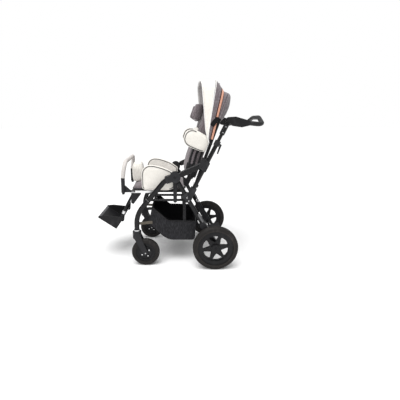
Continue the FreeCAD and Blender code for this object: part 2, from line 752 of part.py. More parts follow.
def eye(direction, sign, y_in, y_out):
    """The lug with which a leg or a link turns on the hub's pin."""
    pieces = [
        barrel(HUB, EYE_RADIUS, sign, y_in, y_out),
        arm(HUB, HUB + direction * LUG_REACH, LUG_WIDTH, sign, y_in, y_out),
    ]
    pin = barrel(HUB, HUB_PIN_RADIUS + PLAY, sign, 0, FRAME_TRACK)
    return fused(pieces).cut(pin)


def rear_leg_bar(sign, from_hub, wall):
    """The straight run of the rear leg down to the axle, its section smaller by a wall all round."""
    start = out(HUB + LEG_DIR * from_hub, sign * FRAME_Y)
    end = out(AXLE - LEG_DIR * (HOUSING_HALF + LEG_END_GAP), sign * FRAME_Y)
    return oval_bar([start, end], [], REAR_LEG_WIDE - 2 * wall, LEG_THICK - 2 * wall)


def rear_leg(sign):
    lug = eye(LEG_DIR, sign, HUB_IN + HUB_CHEEK + PLAY, FRAME_Y - PLAY)
    bore = rear_leg_bar(sign, LUG_REACH + TUBE_WALL, TUBE_WALL)
    leg = fused([rear_leg_bar(sign, TUBE_START, 0), lug]).cut(bore)
    return leg.cut(barrel(BRAKE_SHAFT, BRAKE_SHAFT_RADIUS + PLAY, sign, 0, REAR_TRACK))


def leg_connector(sign):
    """The sleeve on the rear leg that the push tube's foot stands on."""
    start = HUB + LEG_DIR * CONNECTOR_FROM
    end = start + LEG_DIR * CONNECTOR_LENGTH
    block = arm(start, end, 2 * CONNECTOR_HALF, sign, LEG_IN - CONNECTOR_PROUD, LEG_OUT + CONNECTOR_PROUD)
    long_edges = [edge for edge in block.Edges if abs(edge.Length - CONNECTOR_LENGTH) < PLAY]
    return block.makeFillet(CONNECTOR_FILLET, long_edges).cut(rear_leg_bar(sign, TUBE_START, 0))


def axle_housing(sign):
    """The block at the foot of the rear leg that holds the axle and the brake shaft."""
    top = AXLE - LEG_DIR * HOUSING_LENGTH
    y_in = LEG_IN - HOUSING_PROUD_IN
    y_out = HOUSING_OUT
    block = blade(AXLE, top + LEG_DIR * HOUSING_HALF, HOUSING_FOOT_RADIUS, HOUSING_HALF, sign, y_in, y_out)
    above = arm(top - LEG_DIR * HOUSING_HALF, top, 4 * HOUSING_HALF, sign, y_in - SINK, y_out + SINK)
    heel = barrel(BRAKE_SHAFT, BRAKE_BOSS_RADIUS, sign, y_in, y_out)
    block = block.cut(above).fuse(heel).cut(rear_leg_bar(sign, TUBE_START, 0))
    block = block.cut(barrel(AXLE, AXLE_RADIUS, sign, 0, REAR_TRACK))
    return block.cut(barrel(BRAKE_SHAFT, BRAKE_SHAFT_RADIUS + PLAY, sign, 0, REAR_TRACK))


def leg_stay(sign):
    """The bright stay that stands on the housing beside the leg."""
    foot = out(AXLE - LEG_DIR * HOUSING_LENGTH + LEG_AFT * STAY_AFT, sign * (LEG_OUT + STAY_RADIUS + PLAY))
    stay = rod(foot, foot - LEG_DIR * STAY_LENGTH, STAY_RADIUS)
    top = max(stay.Edges, key=lambda edge: edge.CenterOfMass.z)
    return stay.makeFillet(STAY_ROUND, [top])


def rear_axle():
    end = REAR_WHEEL_Y + REAR_WHEEL_WIDTH / 2 - AXLE_CAP
    middle = LEG_IN - HOUSING_PROUD_IN
    return across(AXLE, AXLE_RADIUS, end).fuse(across(AXLE, AXLE_TUBE_RADIUS, middle))


def brake_bar():
    """A shaft through both housings, a cam at each wheel's drum and a pedal in the middle."""
    end = REAR_WHEEL_Y - REAR_WHEEL_WIDTH / 2 - PLAY
    cam_in = HOUSING_OUT + PLAY
    pieces = [across(BRAKE_SHAFT, BRAKE_SHAFT_RADIUS, end)]
    to_drum = AXLE - BRAKE_SHAFT
    reach = to_drum.Length - BRAKE_DRUM_RADIUS - BRAKE_CAM_GAP
    lead = math.degrees(math.atan2(to_drum.z, to_drum.x)) + BRAKE_CAM_LEAD
    tip = BRAKE_SHAFT + turned(lead) * reach
    for _, sign in SIDES:
        pieces.append(arm(BRAKE_SHAFT, tip, BRAKE_CAM_WIDTH, sign, cam_in, end))
    pedal_end = BRAKE_SHAFT + turned(PEDAL_RISE) * PEDAL_REACH
    pieces.append(arm(BRAKE_SHAFT, pedal_end, PEDAL_THICK, 1, -PEDAL_HALF, PEDAL_HALF))
    return fused(pieces)


# Upper frame and handle

def side_link_bar(sign):
    start = out(HUB + LINK_DIR * (HUB_RADIUS + LINK_GAP), sign * FRAME_Y)
    return oval_bar([start, out(BRACKET, sign * FRAME_Y)], [], LINK_WIDE, LINK_THICK)


def side_link(sign):
    lug = eye(LINK_DIR, sign, FRAME_Y + PLAY, HUB_OUT - HUB_CHEEK - PLAY)
    return fused([side_link_bar(sign), lug]).cut(push_tube_solid(sign, PUSH_RADIUS))


def push_tube_solid(sign, radius):
    return rod(out(PUSH_FOOT, sign * FRAME_Y), out(PUSH_TOP, sign * FRAME_Y), radius)


def push_tube(sign):
    return push_tube_solid(sign, PUSH_RADIUS).cut(push_tube_solid(sign, PUSH_RADIUS - TUBE_WALL))


def tube_bracket(sign):
    """The moulded block that clamps the side link to the push tube."""
    half = PUSH_RADIUS + BRACKET_PROUD
    along = PUSH_DIR * (BRACKET_LENGTH / 2)
    level = BRACKET + PUSH_AFT * ((PUSH_TOP - BRACKET).dot(PUSH_AFT) + half)
    front = level - PUSH_AFT * BRACKET_WIDE
    skew = PUSH_DIR * BRACKET_SKEW
    points = [front - along + skew, level - along - skew, level + along - skew, front + along + skew]
    block = slab_of(points, BRACKET_CORNER, sign, FRAME_Y - half, FRAME_Y + half)
    return block.cut(push_tube_solid(sign, PUSH_RADIUS)).cut(side_link(sign))


def foot_plane():
    """Where the foot meets the leg connector, as a point on the top of the sleeve."""
    return HUB + LEG_AFT * (CONNECTOR_HALF + PLAY)


def tube_foot(sign):
    """The shoe at the lower end of the push tube, with the lug and pin of the backrest hinge."""
    base = PUSH_FOOT - PUSH_DIR * FOOT_LENGTH
    top = PUSH_FOOT + PUSH_DIR * (FOOT_LENGTH / 2)
    half = FOOT_HALF
    y_in = FRAME_Y - PUSH_RADIUS - FOOT_PROUD
    shoe = arm(base, top, 2 * half, sign, y_in, FRAME_Y + PUSH_RADIUS + FOOT_PROUD)
    under = [
        foot_plane(),
        foot_plane() + LEG_DIR * LEG_LENGTH,
        foot_plane() + LEG_DIR * LEG_LENGTH - LEG_AFT * LEG_LENGTH,
        foot_plane() - LEG_AFT * LEG_LENGTH,
    ]
    shoe = shoe.cut(slab_of(under, 0, sign, 0, FRAME_TRACK)).cut(push_tube_solid(sign, PUSH_RADIUS))
    lug_in = BACK_TUBE_Y + BACK_TUBE_RADIUS + PLAY
    lug = barrel(HINGE, BACK_LUG_RADIUS, sign, lug_in, y_in)
    pin = barrel(HINGE, BACK_PIN_RADIUS, sign, BACK_TUBE_Y - BACK_TUBE_RADIUS - PIN_PROUD, y_in)
    return fused([shoe, lug, pin])


def lever_pivot():
    return PUSH_TOP + PUSH_AFT * (CLAMP_RADIUS + LEVER_THICK) - PUSH_DIR * LEVER_DOWN


def height_clamp(sign):
    """The collar at the top of the push tube, with the ears and pin of its lever."""
    base = out(PUSH_TOP - PUSH_DIR * (CLAMP_LENGTH - CLAMP_LIP), sign * FRAME_Y)
    top = out(PUSH_TOP + PUSH_DIR * CLAMP_LIP, sign * FRAME_Y)
    collar = rod(base, top, CLAMP_RADIUS)
    ears = []
    inner = LEVER_WIDTH / 2 + PLAY
    outer = inner + LEVER_EAR
    for low, high in ((-outer, -inner), (inner, outer)):
        ears.append(blade(lever_pivot() - PUSH_AFT * EAR_REACH, lever_pivot(), LEVER_THICK, LEVER_EYE_RADIUS,
                          sign, FRAME_Y + low, FRAME_Y + high))
    pin = barrel(lever_pivot(), LEVER_PIN_RADIUS, sign, FRAME_Y - outer, FRAME_Y + outer)
    clamp = fused([collar, pin] + ears).cut(push_tube_solid(sign, PUSH_RADIUS))
    return clamp.cut(rod(base, top, STEM_RADIUS + 2 * PLAY))


def clamp_lever(sign):
    root = lever_pivot()
    tip = root - PUSH_DIR * LEVER_LENGTH + PUSH_AFT * LEVER_THICK
    half = LEVER_WIDTH / 2
    lever = blade(root, tip, LEVER_EYE_RADIUS, LEVER_THICK / 2, sign, FRAME_Y - half, FRAME_Y + half)
    return lever.cut(barrel(root, LEVER_PIN_RADIUS + PLAY, sign, 0, FRAME_TRACK))


def handle_stem(sign):
    """The inner tube, the riveted sleeve on it and the flat neck of the tilting joint."""
    y = sign * FRAME_Y
    sleeve_top = KNUCKLE - PUSH_DIR * SLEEVE_SHORT
    low = out(PUSH_TOP - PUSH_DIR * STEM_INSERT, y)
    stem = rod(low, out(sleeve_top, y), STEM_RADIUS)
    sleeve = rod(out(sleeve_top - PUSH_DIR * SLEEVE_LENGTH, y), out(sleeve_top, y), SLEEVE_RADIUS)
    neck_in = FRAME_Y - NECK_THICK / 2
    neck_out = FRAME_Y + NECK_THICK / 2
    neck = arm(sleeve_top - PUSH_DIR * NECK_SINK, KNUCKLE, NECK_WIDTH, sign, neck_in, neck_out)
    disc = barrel(KNUCKLE, KNUCKLE_RADIUS, sign, neck_in, neck_out)
    hollow = rod(low, out(sleeve_top - PUSH_DIR * SLEEVE_LENGTH, y), STEM_RADIUS - TUBE_WALL)
    whole = fused([stem, sleeve, neck, disc]).cut(hollow)
    return whole.cut(barrel(KNUCKLE, KNUCKLE_PIN_RADIUS + PLAY, sign, 0, FRAME_TRACK))


def handle_points():
    """The bar from one housing round the arched grip to the other."""
    arm_start = KNUCKLE + V(BAR_START, 0, -BAR_START_DROP)
    arm_end = KNUCKLE + V(BAR_ARM_END, 0, -BAR_ARM_DROP)
    arch = KNUCKLE + V(BAR_ARCH_BEHIND, 0, BAR_ARCH_RISE)
    return [
        out(arm_start, -FRAME_Y),
        out(arm_end, -FRAME_Y),
        out(arch, -BAR_ARCH_HALF),
        out(arch, BAR_ARCH_HALF),
        out(arm_end, FRAME_Y),
        out(arm_start, FRAME_Y),
    ]


def handle_bar(radius):
    return round_bar(handle_points(), [BAR_BEND, BAR_ARCH_BEND, BAR_ARCH_BEND, BAR_BEND], radius)


def handle_housing(sign):
    """The lens-shaped moulding with the two cheeks and the pin of the tilting joint."""
    lens = [KNUCKLE + V(x, 0, z) for x, z in HOUSING_LENS]
    mouth = [KNUCKLE + V(x, 0, z) for x, z in HOUSING_MOUTH]
    y_in = FRAME_Y - HOUSING_HALF_WIDTH
    y_out = FRAME_Y + HOUSING_HALF_WIDTH
    body = slab_of(lens, HOUSING_CORNER, sign, y_in, y_out)
    slot_in = FRAME_Y - NECK_THICK / 2 - PLAY
    slot_out = FRAME_Y + NECK_THICK / 2 + PLAY
    slot = slab_of(mouth, 0, sign, slot_in, slot_out)
    slot = slot.fuse(barrel(KNUCKLE, KNUCKLE_RADIUS + KNUCKLE_ROOM, sign, slot_in, slot_out))
    seat = y_out - BUTTON_TRAVEL - BUTTON_SEAT
    pocket = barrel(KNUCKLE, BUTTON_RADIUS + PLAY, sign, seat, y_out)
    body = body.cut(slot).cut(handle_bar(BAR_RADIUS))
    pin = barrel(KNUCKLE, KNUCKLE_PIN_RADIUS, sign, y_in, seat)
    return fused([body, pin]).cut(pocket)


def tilt_button(sign):
    y_out = FRAME_Y + HOUSING_HALF_WIDTH
    button = barrel(KNUCKLE, BUTTON_RADIUS, sign, y_out - BUTTON_ROOT, y_out + BUTTON_PROUD)
    rim = [edge for edge in button.Edges if abs(abs(edge.CenterOfMass.y) - y_out - BUTTON_PROUD) < BUTTON_ROUND]
    return button.makeFillet(BUTTON_ROUND, rim)


# Seat

def seat_base_frame():
    """Two lower bars joined by a tube from leg to leg and another between the bars."""
    front = side(-BASE_BAR_FRONT, BASE_BAR_HEIGHT)
    rear = side(-BASE_BAR_REAR, BASE_BAR_HEIGHT)
    cross = side(-BASE_CROSS_AHEAD, BASE_BAR_HEIGHT)
    pieces = [across(front, BASE_CROSS_RADIUS, LEG_IN), across(cross, BASE_CROSS_RADIUS, SIDE_RAIL_Y)]
    for _, sign in SIDES:
        y = sign * SIDE_RAIL_Y
        start = front - V(BASE_BAR_RADIUS, 0, 0)
        pieces.append(rod(out(start, y), out(rear, y), BASE_BAR_RADIUS))
    return fused(pieces)


def seat_side_rail(sign):
    """The upper black rail with its posts on the lower bar and the blocks under the silver rail."""
    y = sign * SIDE_RAIL_Y
    front = out(side(-SIDE_RAIL_FRONT, SIDE_RAIL_HEIGHT), y)
    rear = out(side(-SIDE_RAIL_REAR, SIDE_RAIL_HEIGHT), y)
    pieces = [rod(front, rear, SIDE_RAIL_RADIUS)]
    post_foot = BASE_BAR_HEIGHT + BASE_BAR_RADIUS
    for x in (-SIDE_RAIL_FRONT + RAIL_BLOCK, -SIDE_RAIL_REAR - RAIL_BLOCK):
        foot = V(REAR_AXLE_X + x, y, post_foot)
        pieces.append(rod(foot, V(foot.x, y, SIDE_RAIL_HEIGHT), POST_RADIUS))
    block = side(-SIDE_RAIL_FRONT + RAIL_BLOCK_IN, SIDE_RAIL_HEIGHT)
    ends = [block, block + V(RAIL_BLOCK, 0, 0)]
    lift = V(0, 0, SEAT_RAIL_HEIGHT - SIDE_RAIL_HEIGHT)
    points = ends + [ends[1] + lift, ends[0] + lift]
    inner = SEAT_RAIL_Y - SEAT_RAIL_SIZE / 2
    pieces.append(slab_of(points, 0, sign, inner, SIDE_RAIL_Y + SIDE_RAIL_RADIUS / 2))
    return fused(pieces)


def seat_front_rail(sign):
    low = side(-SEAT_RAIL_FRONT, SEAT_RAIL_HEIGHT)
    high = side(-SEAT_RAIL_REAR, RAIL_TOP)
    points = [low, V(high.x, 0, low.z), high, V(low.x, 0, high.z)]
    half = SEAT_RAIL_SIZE / 2
    return slab_of(points, SEAT_RAIL_CORNER, sign, SEAT_RAIL_Y - half, SEAT_RAIL_Y + half)


def pommel_base():
    return side(-POMMEL_AHEAD, POMMEL_BOTTOM)


def stem_hole(radius):
    foot = pommel_base() - V(0, 0, POMMEL_STEM_LENGTH)
    return rod(foot, pommel_base() + V(0, 0, POMMEL_HEIGHT / 2), radius)


def seat_board():
    half = SEAT_RAIL_Y - SEAT_RAIL_SIZE / 2 - PLAY
    front = side(-BOARD_FRONT, SEAT_RAIL_HEIGHT)
    board = Part.makeBox(BOARD_FRONT - BOARD_REAR, 2 * half, BOARD_THICK, V(front.x, -half, front.z))
    return board.cut(stem_hole(POMMEL_STEM_RADIUS + PLAY))


def seat_cushion():
    """Crowned, drawn in along its sides, rounded down at the front edge."""
    length = BOARD_FRONT - BOARD_REAR
    sections = []
    base = BOARD_TOP + PLAY
    for share, height, width in CUSHION_STATIONS:
        half = CUSHION_HEIGHT * height / 2
        centre = side(-BOARD_FRONT + length * share, base + half)
        bulges = (0, CUSHION_SIDE, CUSHION_CROWN, CUSHION_SIDE)
        sections.append(pad_section(centre, V(0, 1, 0), V(0, 0, 1), CUSHION_HALF * width, half, bulges))
    return Part.makeLoft(sections, True).cut(stem_hole(POMMEL_STEM_RADIUS + 2 * PLAY))


def thigh_guard(sign):
    """A pad that stands on the silver rail, high at the front and drawn out to a tip behind."""
    foot = RAIL_TOP + PLAY
    sections = []
    for x, low, high, share in GUARD_STATIONS:
        centre = out(side(x, foot + (low + high) / 2), sign * (SEAT_RAIL_Y + GUARD_OUT))
        half = GUARD_THICK / 2 * share - GUARD_BULGE * share
        bulges = (0, GUARD_BULGE * share, GUARD_BULGE, GUARD_BULGE * share)
        sections.append(pad_section(centre, V(0, 1, 0), V(0, 0, 1), half, (high - low) / 2, bulges))
    start = V(REAR_AXLE_X - WHEELBASE, sign * SEAT_RAIL_Y, foot) - V(GUARD_THICK, GUARD_THICK, GUARD_THICK)
    under = Part.makeBox(WHEELBASE, GUARD_THICK * 2, GUARD_THICK, start)
    return Part.makeLoft(sections, True).cut(under)


def pommel_pad():
    sections = []
    for share, half_x, half_y in POMMEL_STATIONS:
        centre = pommel_base() + V(0, 0, POMMEL_HEIGHT * share)
        sections.append(pad_section(centre, V(1, 0, 0), V(0, 1, 0), half_x, half_y, (POMMEL_BULGE,) * 4))
    return Part.makeLoft(sections, True).cut(stem_hole(POMMEL_STEM_RADIUS))


def pommel_stem():
    """The stem that drops through the seat, stepped at its foot."""
    foot = pommel_base() - V(0, 0, POMMEL_STEM_LENGTH)
    step = rod(foot - V(0, 0, POMMEL_TIP), foot, POMMEL_STEM_RADIUS - POMMEL_TIP)
    return stem_hole(POMMEL_STEM_RADIUS).fuse(step)


# Bumper bar

def bumper_points():
    """The bar from socket to socket, its slanted ends just clear of them."""
    dip = BUMPER_RADIUS * BUMPER_LEAN / (BUMPER_TOP - SOCKET_TOP)
    low = side(-BUMPER_AHEAD, SOCKET_TOP + dip + PLAY)
    high = side(-BUMPER_AHEAD + BUMPER_LEAN, BUMPER_TOP)
    return [out(low, -BUMPER_Y), out(high, -BUMPER_Y), out(high, BUMPER_Y), out(low, BUMPER_Y)]


def bumper_bar():
    return round_bar(bumper_points(), [BUMPER_BEND, BUMPER_BEND], BUMPER_RADIUS)


def bumper_tip(sign):
    base = out(side(-BUMPER_AHEAD, TIP_BOTTOM), sign * BUMPER_Y)
    tip = rod(base, V(base.x, base.y, SOCKET_TOP + BUMPER_RADIUS), TIP_RADIUS)
    return tip.cut(bumper_bar())


def bumper_socket(sign):
    """The upright tube that takes the bar, on a gusset bolted to the silver rail."""
    base = out(side(-BUMPER_AHEAD, SOCKET_BOTTOM), sign * BUMPER_Y)
    top = V(base.x, base.y, SOCKET_TOP)
    y_in = SEAT_RAIL_Y + SEAT_RAIL_SIZE / 2
    gusset = [
        side(-BUMPER_AHEAD, SOCKET_BOTTOM),
        side(-SEAT_RAIL_FRONT + GUSSET_BEHIND, SOCKET_BOTTOM),
        side(-SEAT_RAIL_FRONT + GUSSET_BEHIND, RAIL_TOP),
        side(-SEAT_RAIL_FRONT + GUSSET_STEP, RAIL_TOP + GUSSET_RISE),
        side(-BUMPER_AHEAD, SOCKET_BOTTOM + GUSSET_HEIGHT),
    ]
    plate = slab_of(gusset, 0, sign, y_in, y_in + GUSSET_THICK)
    whole = fused([rod(base, top, SOCKET_RADIUS), plate])
    return whole.cut(rod(base, top, TIP_RADIUS + PLAY))


# Legrest and footplate

def from_strut(step):
    """A point of the side view, counted from the foot of the legrest's struts."""
    return STRUT_END + V(step[0], 0, step[1])


def legrest_bracket(sign):
    """A gusset under the seat board with the pin that the strut swings on."""
    y_in = LEGREST_Y + STRUT_RADIUS + PLAY
    top = SEAT_RAIL_HEIGHT - PLAY
    low = [LEGREST_PIVOT + V(x, 0, z) for x, z in LEGREST_GUSSET]
    points = [V(low[-1].x, 0, top), V(low[0].x, 0, top)] + low
    plate = slab_of(points, LEGREST_CORNER, sign, y_in, y_in + LEGREST_PLATE)
    pin = barrel(LEGREST_PIVOT, LEGREST_PIN_RADIUS, sign, LEGREST_Y - STRUT_RADIUS - PIN_PROUD, y_in)
    return fused([plate, pin])


def legrest_struts():
    """Two bent struts with a tube across at the knee, and the pins of the footplate."""
    pieces = []
    for _, sign in SIDES:
        y = sign * LEGREST_Y
        points = [out(LEGREST_PIVOT, y), out(STRUT_BEND_AT, y), out(STRUT_END, y)]
        pieces.append(round_bar(points, [STRUT_BEND], STRUT_RADIUS))
        eye_half = STRUT_RADIUS - SINK
        eye_in, eye_out = LEGREST_Y - eye_half, LEGREST_Y + eye_half
        pin_in = TRAY_HALF - TRAY_WALL - PIN_PROUD
        pieces.append(barrel(LEGREST_PIVOT, LEGREST_EYE_RADIUS, sign, eye_in, eye_out))
        pieces.append(barrel(FOOT_PIVOT, LEGREST_PIN_RADIUS, sign, pin_in, LEGREST_Y))
    pieces.append(across(STRUT_BEND_AT + STRUT_DIR * STRUT_CROSS_DOWN, STRUT_CROSS_RADIUS, LEGREST_Y))
    return fused(pieces).cut(across(LEGREST_PIVOT, LEGREST_PIN_RADIUS + PLAY, FRAME_Y))


def legrest_clamp(sign):
    """The bright ring on the strut just above the footplate."""
    low = out(FOOT_PIVOT - STRUT_DIR * (TRAY_EAR_RADIUS + STRUT_CLAMP_GAP), sign * LEGREST_Y)
    high = low - STRUT_DIR * STRUT_CLAMP_LENGTH
    return rod(low, high, STRUT_CLAMP_RADIUS).cut(rod(low, high, STRUT_RADIUS))


def footplate():
    """A scoop: a sloping tread between two rising walls, with a heel wall and two ears."""
    front = from_strut(TRAY_FRONT)
    heel = from_strut(TRAY_HEEL)
    back = from_strut(TRAY_BACK)
    edge = from_strut(TRAY_EDGE)
    shell = slab_of([front, heel, back, edge], TRAY_CORNER, 1, -TRAY_HALF, TRAY_HALF)
    up = square((front - heel).normalize()) * -TRAY_WALL
    fore = (back - heel).normalize()
    in_heel = (front - heel).normalize() * TRAY_WALL
    lift = V(0, 0, TRAY_HALF)
    corner = heel + up + in_heel
    rise = square((front - heel).normalize()) * -TRAY_HALF - in_heel * TRAY_LEAN
    room = [front + up - in_heel, corner, corner + rise, edge + lift, front + lift]
    inner = TRAY_HALF - TRAY_WALL
    tray = shell.cut(slab_of(room, 0, 1, -inner, inner))
    ears = []
    for _, sign in SIDES:
        root = back - fore * TRAY_EAR_SINK
        ears.append(blade(root, FOOT_PIVOT, TRAY_EAR_ROOT, TRAY_EAR_RADIUS, sign, inner, TRAY_HALF))
    return fused([tray] + ears).cut(across(FOOT_PIVOT, LEGREST_PIN_RADIUS + PLAY, FRAME_Y))


# Basket

def basket():
    """A scoop of cloth with low sides, open at the top."""
    run = (BASKET_LIP, BASKET_FRONT, BASKET_KNEE, BASKET_TOE, BASKET_HEEL, BASKET_REAR)
    rim = [side(*place) for place in run + (BASKET_CUT,)]
    shell = slab_of(rim, BASKET_CORNER, 1, -BASKET_HALF, BASKET_HALF)
    w = BASKET_WALL
    lift = V(0, 0, BASKET_HALF)
    inward = ((w, 0), (w, 0), (BASKET_KNEE_IN, w), (BASKET_TOE_IN, w), (-w, w), (-w, 0))
    room = [side(*place) + V(x, 0, z) for place, (x, z) in zip(run, inward)]
    room = room + [room[-1] + lift, room[0] + lift]
    inner = BASKET_HALF - BASKET_WALL
    return shell.cut(slab_of(room, 0, 1, -inner, inner))


def front_strap(sign, height, x_leg, x_basket):
    """A short strap from the inside of the front leg to the side of the basket."""
    leg_y = LEG_IN - PLAY
    cloth_y = BASKET_HALF + PLAY
    a = V(REAR_AXLE_X + x_leg, sign * leg_y, height)
    b = V(REAR_AXLE_X + x_basket, sign * cloth_y, height)
    c = V(REAR_AXLE_X + x_basket + STRAP_WIDTH, sign * cloth_y, height)
    back = V(0, -sign * STRAP_THICK, 0)
    over = V(0, sign * STRAP_THICK, 0)
    points = [a + back, b, c, c + over, b + over, a]
    return Part.Face(Part.makePolygon(points + points[:1])).extrude(V(0, 0, STRAP_WIDTH))


def rear_strap(sign):
    """The strap that hangs the rear of the basket from the lower bar."""
    y = SIDE_RAIL_Y + BASE_BAR_RADIUS + PLAY
    x = REAR_AXLE_X - BASE_CROSS_AHEAD
    top = BASE_BAR_HEIGHT + BASE_BAR_RADIUS
    points = [V(x, 0, BASKET_REAR[1] - STRAP_WIDTH), V(x + STRAP_WIDTH, 0, BASKET_REAR[1] - STRAP_WIDTH),
              V(x + STRAP_WIDTH, 0, top), V(x, 0, top)]
    hang = slab_of(points, 0, sign, y, y + STRAP_THICK)
    return hang.cut(basket())


# Backrest

def canopy_stud():
    """Where the screw of the canopy's clamp goes through the grey band."""
    return CANOPY_PIVOT + turned((BAND_FROM_ANGLE + BAND_TO_ANGLE) / 2) * CANOPY_CLAMP_UP


def back_frame():
    """One tube bent over at the top, with the clamps and pins of the canopy on its sides."""
    points = [on_back(0, 0, -BACK_TUBE_Y), on_back(BACK_LENGTH, 0, -BACK_TUBE_Y),
              on_back(BACK_LENGTH, 0, BACK_TUBE_Y), on_back(0, 0, BACK_TUBE_Y)]
    pieces = [round_bar(points, [BACK_TOP_BEND, BACK_TOP_BEND], BACK_TUBE_RADIUS)]
    clamp_in = CANOPY_HALF + PLAY
    for _, sign in SIDES:
        eye_half = BACK_TUBE_RADIUS - SINK
        pieces.append(barrel(HINGE, BACK_EYE_RADIUS, sign, BACK_TUBE_Y - eye_half, BACK_TUBE_Y + eye_half))
        head = clamp_in + CANOPY_HEAD_THICK
        pieces.append(barrel(CANOPY_PIVOT, CANOPY_PIN_RADIUS, sign, BACK_TUBE_Y, head))
        pieces.append(barrel(CANOPY_PIVOT, CANOPY_HEAD_RADIUS, sign, clamp_in, head))
        stud = canopy_stud()
        clamp_out = clamp_in + CANOPY_CLAMP_THICK
        pieces.append(barrel(stud, CANOPY_PIN_RADIUS, sign, BACK_TUBE_Y, clamp_out))
        link = CANOPY_PIVOT + BACK_DIR * CANOPY_CLAMP_UP
        pieces.append(blade(link, stud, CANOPY_LINK_RADIUS, CANOPY_LINK_END, sign, BACK_TUBE_Y,
                            CANOPY_HALF - CANOPY_WALL - PLAY))
        low, high = (stud + V(x, 0, z) for x, z in (CANOPY_CLAMP_LOW, CANOPY_CLAMP_HIGH))
        pieces.append(blade(low, high, CANOPY_CLAMP_LOW_RADIUS, CANOPY_CLAMP_HIGH_RADIUS, sign,
                            clamp_in, clamp_out))
    return fused(pieces).cut(across(HINGE, BACK_PIN_RADIUS + PLAY, FRAME_Y))


def back_pad():
    """Crowned in front and drawn in at the waist, flat where it lies on the tubes."""
    length = BACK_PAD_TO - BACK_PAD_FROM
    sections = []
    rear = BACK_TUBE_RADIUS + PLAY
    for share, thick, width in BACK_STATIONS:
        half = BACK_PAD_THICK * thick / 2
        centre = on_back(BACK_PAD_FROM + length * share, rear + half, 0)
        bulges = (0, BACK_PAD_CROWN, BACK_PAD_CROWN, BACK_PAD_CROWN)
        sections.append(pad_section(centre, V(0, 1, 0), BACK_FWD, BACK_PAD_HALF * width, half, bulges))
    return Part.makeLoft(sections, True)


def back_flap():
    """The cloth that hangs behind the top of the back, full in the middle."""
    length = FLAP_TO - FLAP_FROM
    sections = []
    front = -BACK_TUBE_RADIUS - PLAY
    bulges = (FLAP_CROWN, FLAP_SIDE, 0, FLAP_SIDE)
    for share, thick in FLAP_STATIONS:
        half = FLAP_THICK * thick / 2
        centre = on_back(FLAP_FROM + length * share, front - half, 0)
        sections.append(pad_section(centre, V(0, 1, 0), BACK_FWD, FLAP_HALF, half, bulges))
    return Part.makeLoft(sections, True)


def trunk_pad(sign):
    """A side support that reaches forward from the back tube."""
    rear = BACK_TUBE_RADIUS + 2 * PLAY
    sections = []
    for share, low_in, high_in, full in TRUNK_STATIONS:
        low = TRUNK_FROM + low_in
        high = TRUNK_TO - high_in
        centre = on_back((low + high) / 2, rear + (TRUNK_REACH - rear) * share, sign * (BACK_TUBE_Y - TRUNK_IN))
        half = TRUNK_THICK / 2 * full - TRUNK_EDGE
        tall = (high - low) / 2 - TRUNK_BULGE
        sections.append(pad_section(centre, V(0, 1, 0), BACK_DIR, half, tall, (TRUNK_BULGE,) * 4))
    return Part.makeLoft(sections, True)


def headrest():
    """A pad across the back whose two wings turn forward round the head."""
    rear = BACK_TUBE_RADIUS + PLAY + BACK_PAD_THICK + BACK_PAD_CROWN + HEAD_SEAT
    half = HEAD_THICK / 2
    middle = rear + half
    wing = middle + HEAD_WING_FORWARD
    bend = middle + HEAD_BEND_FORWARD
    plan = (
        (HEAD_REACH, HEAD_HALF, 90, 0.72), (wing, HEAD_HALF, 84, 0.9), (bend, HEAD_HALF - HEAD_BEND_IN, 45, 1),
        (middle, HEAD_HALF / 2, 8, 1), (middle, 0, 0, 1),
    )
    stations = [(f, -y, -a, share) for f, y, a, share in plan] + list(plan[-2::-1])
    sections = []
    centre_up = (HEAD_FROM + HEAD_TO) / 2
    for forward, y, angle, share in stations:
        turn = math.radians(angle)
        across_pad = BACK_FWD * math.cos(turn) + V(0, -math.sin(turn), 0)
        height = (HEAD_TO - HEAD_FROM) / 2 * share - HEAD_BULGE
        centre = on_back(centre_up, forward, y)
        thick = half * (HEAD_THIN + (1 - HEAD_THIN) * share) - HEAD_BULGE
        sections.append(pad_section(centre, across_pad, BACK_DIR, thick, height, (HEAD_BULGE,) * 4))
    return Part.makeLoft(sections, True)


# Canopy

def bow_section(angle, top, foot):
    """The arch of the canopy in one plane through its pivots, as a thin closed outline."""
    ray = turned(angle)

    def at(y, reach):
        return out(CANOPY_PIVOT + ray * reach, y)

    def arch(inset):
        half = CANOPY_HALF - inset
        crown = top - inset
        eaves = crown - CANOPY_CROWN
        turn = CANOPY_SHOULDER - inset
        low = eaves - turn
        knee = turn * (1 - math.sqrt(0.5))
        return [
            at(-half, foot), at(-half, low), at(-half + knee, eaves - knee), at(-half + turn, eaves),
            at(0, crown), at(half - turn, eaves), at(half - knee, eaves - knee), at(half, low), at(half, foot),
        ]

    o = arch(0)
    i = arch(CANOPY_WALL)
    edges = [
        Part.LineSegment(o[0], o[1]), Part.Arc(o[1], o[2], o[3]), Part.Arc(o[3], o[4], o[5]),
        Part.Arc(o[5], o[6], o[7]), Part.LineSegment(o[7], o[8]), Part.LineSegment(o[8], i[8]),
        Part.LineSegment(i[8], i[7]), Part.Arc(i[7], i[6], i[5]), Part.Arc(i[5], i[4], i[3]),
        Part.Arc(i[3], i[2], i[1]), Part.LineSegment(i[1], i[0]), Part.LineSegment(i[0], o[0]),
    ]
    return Part.Wire([edge.toShape() for edge in edges])


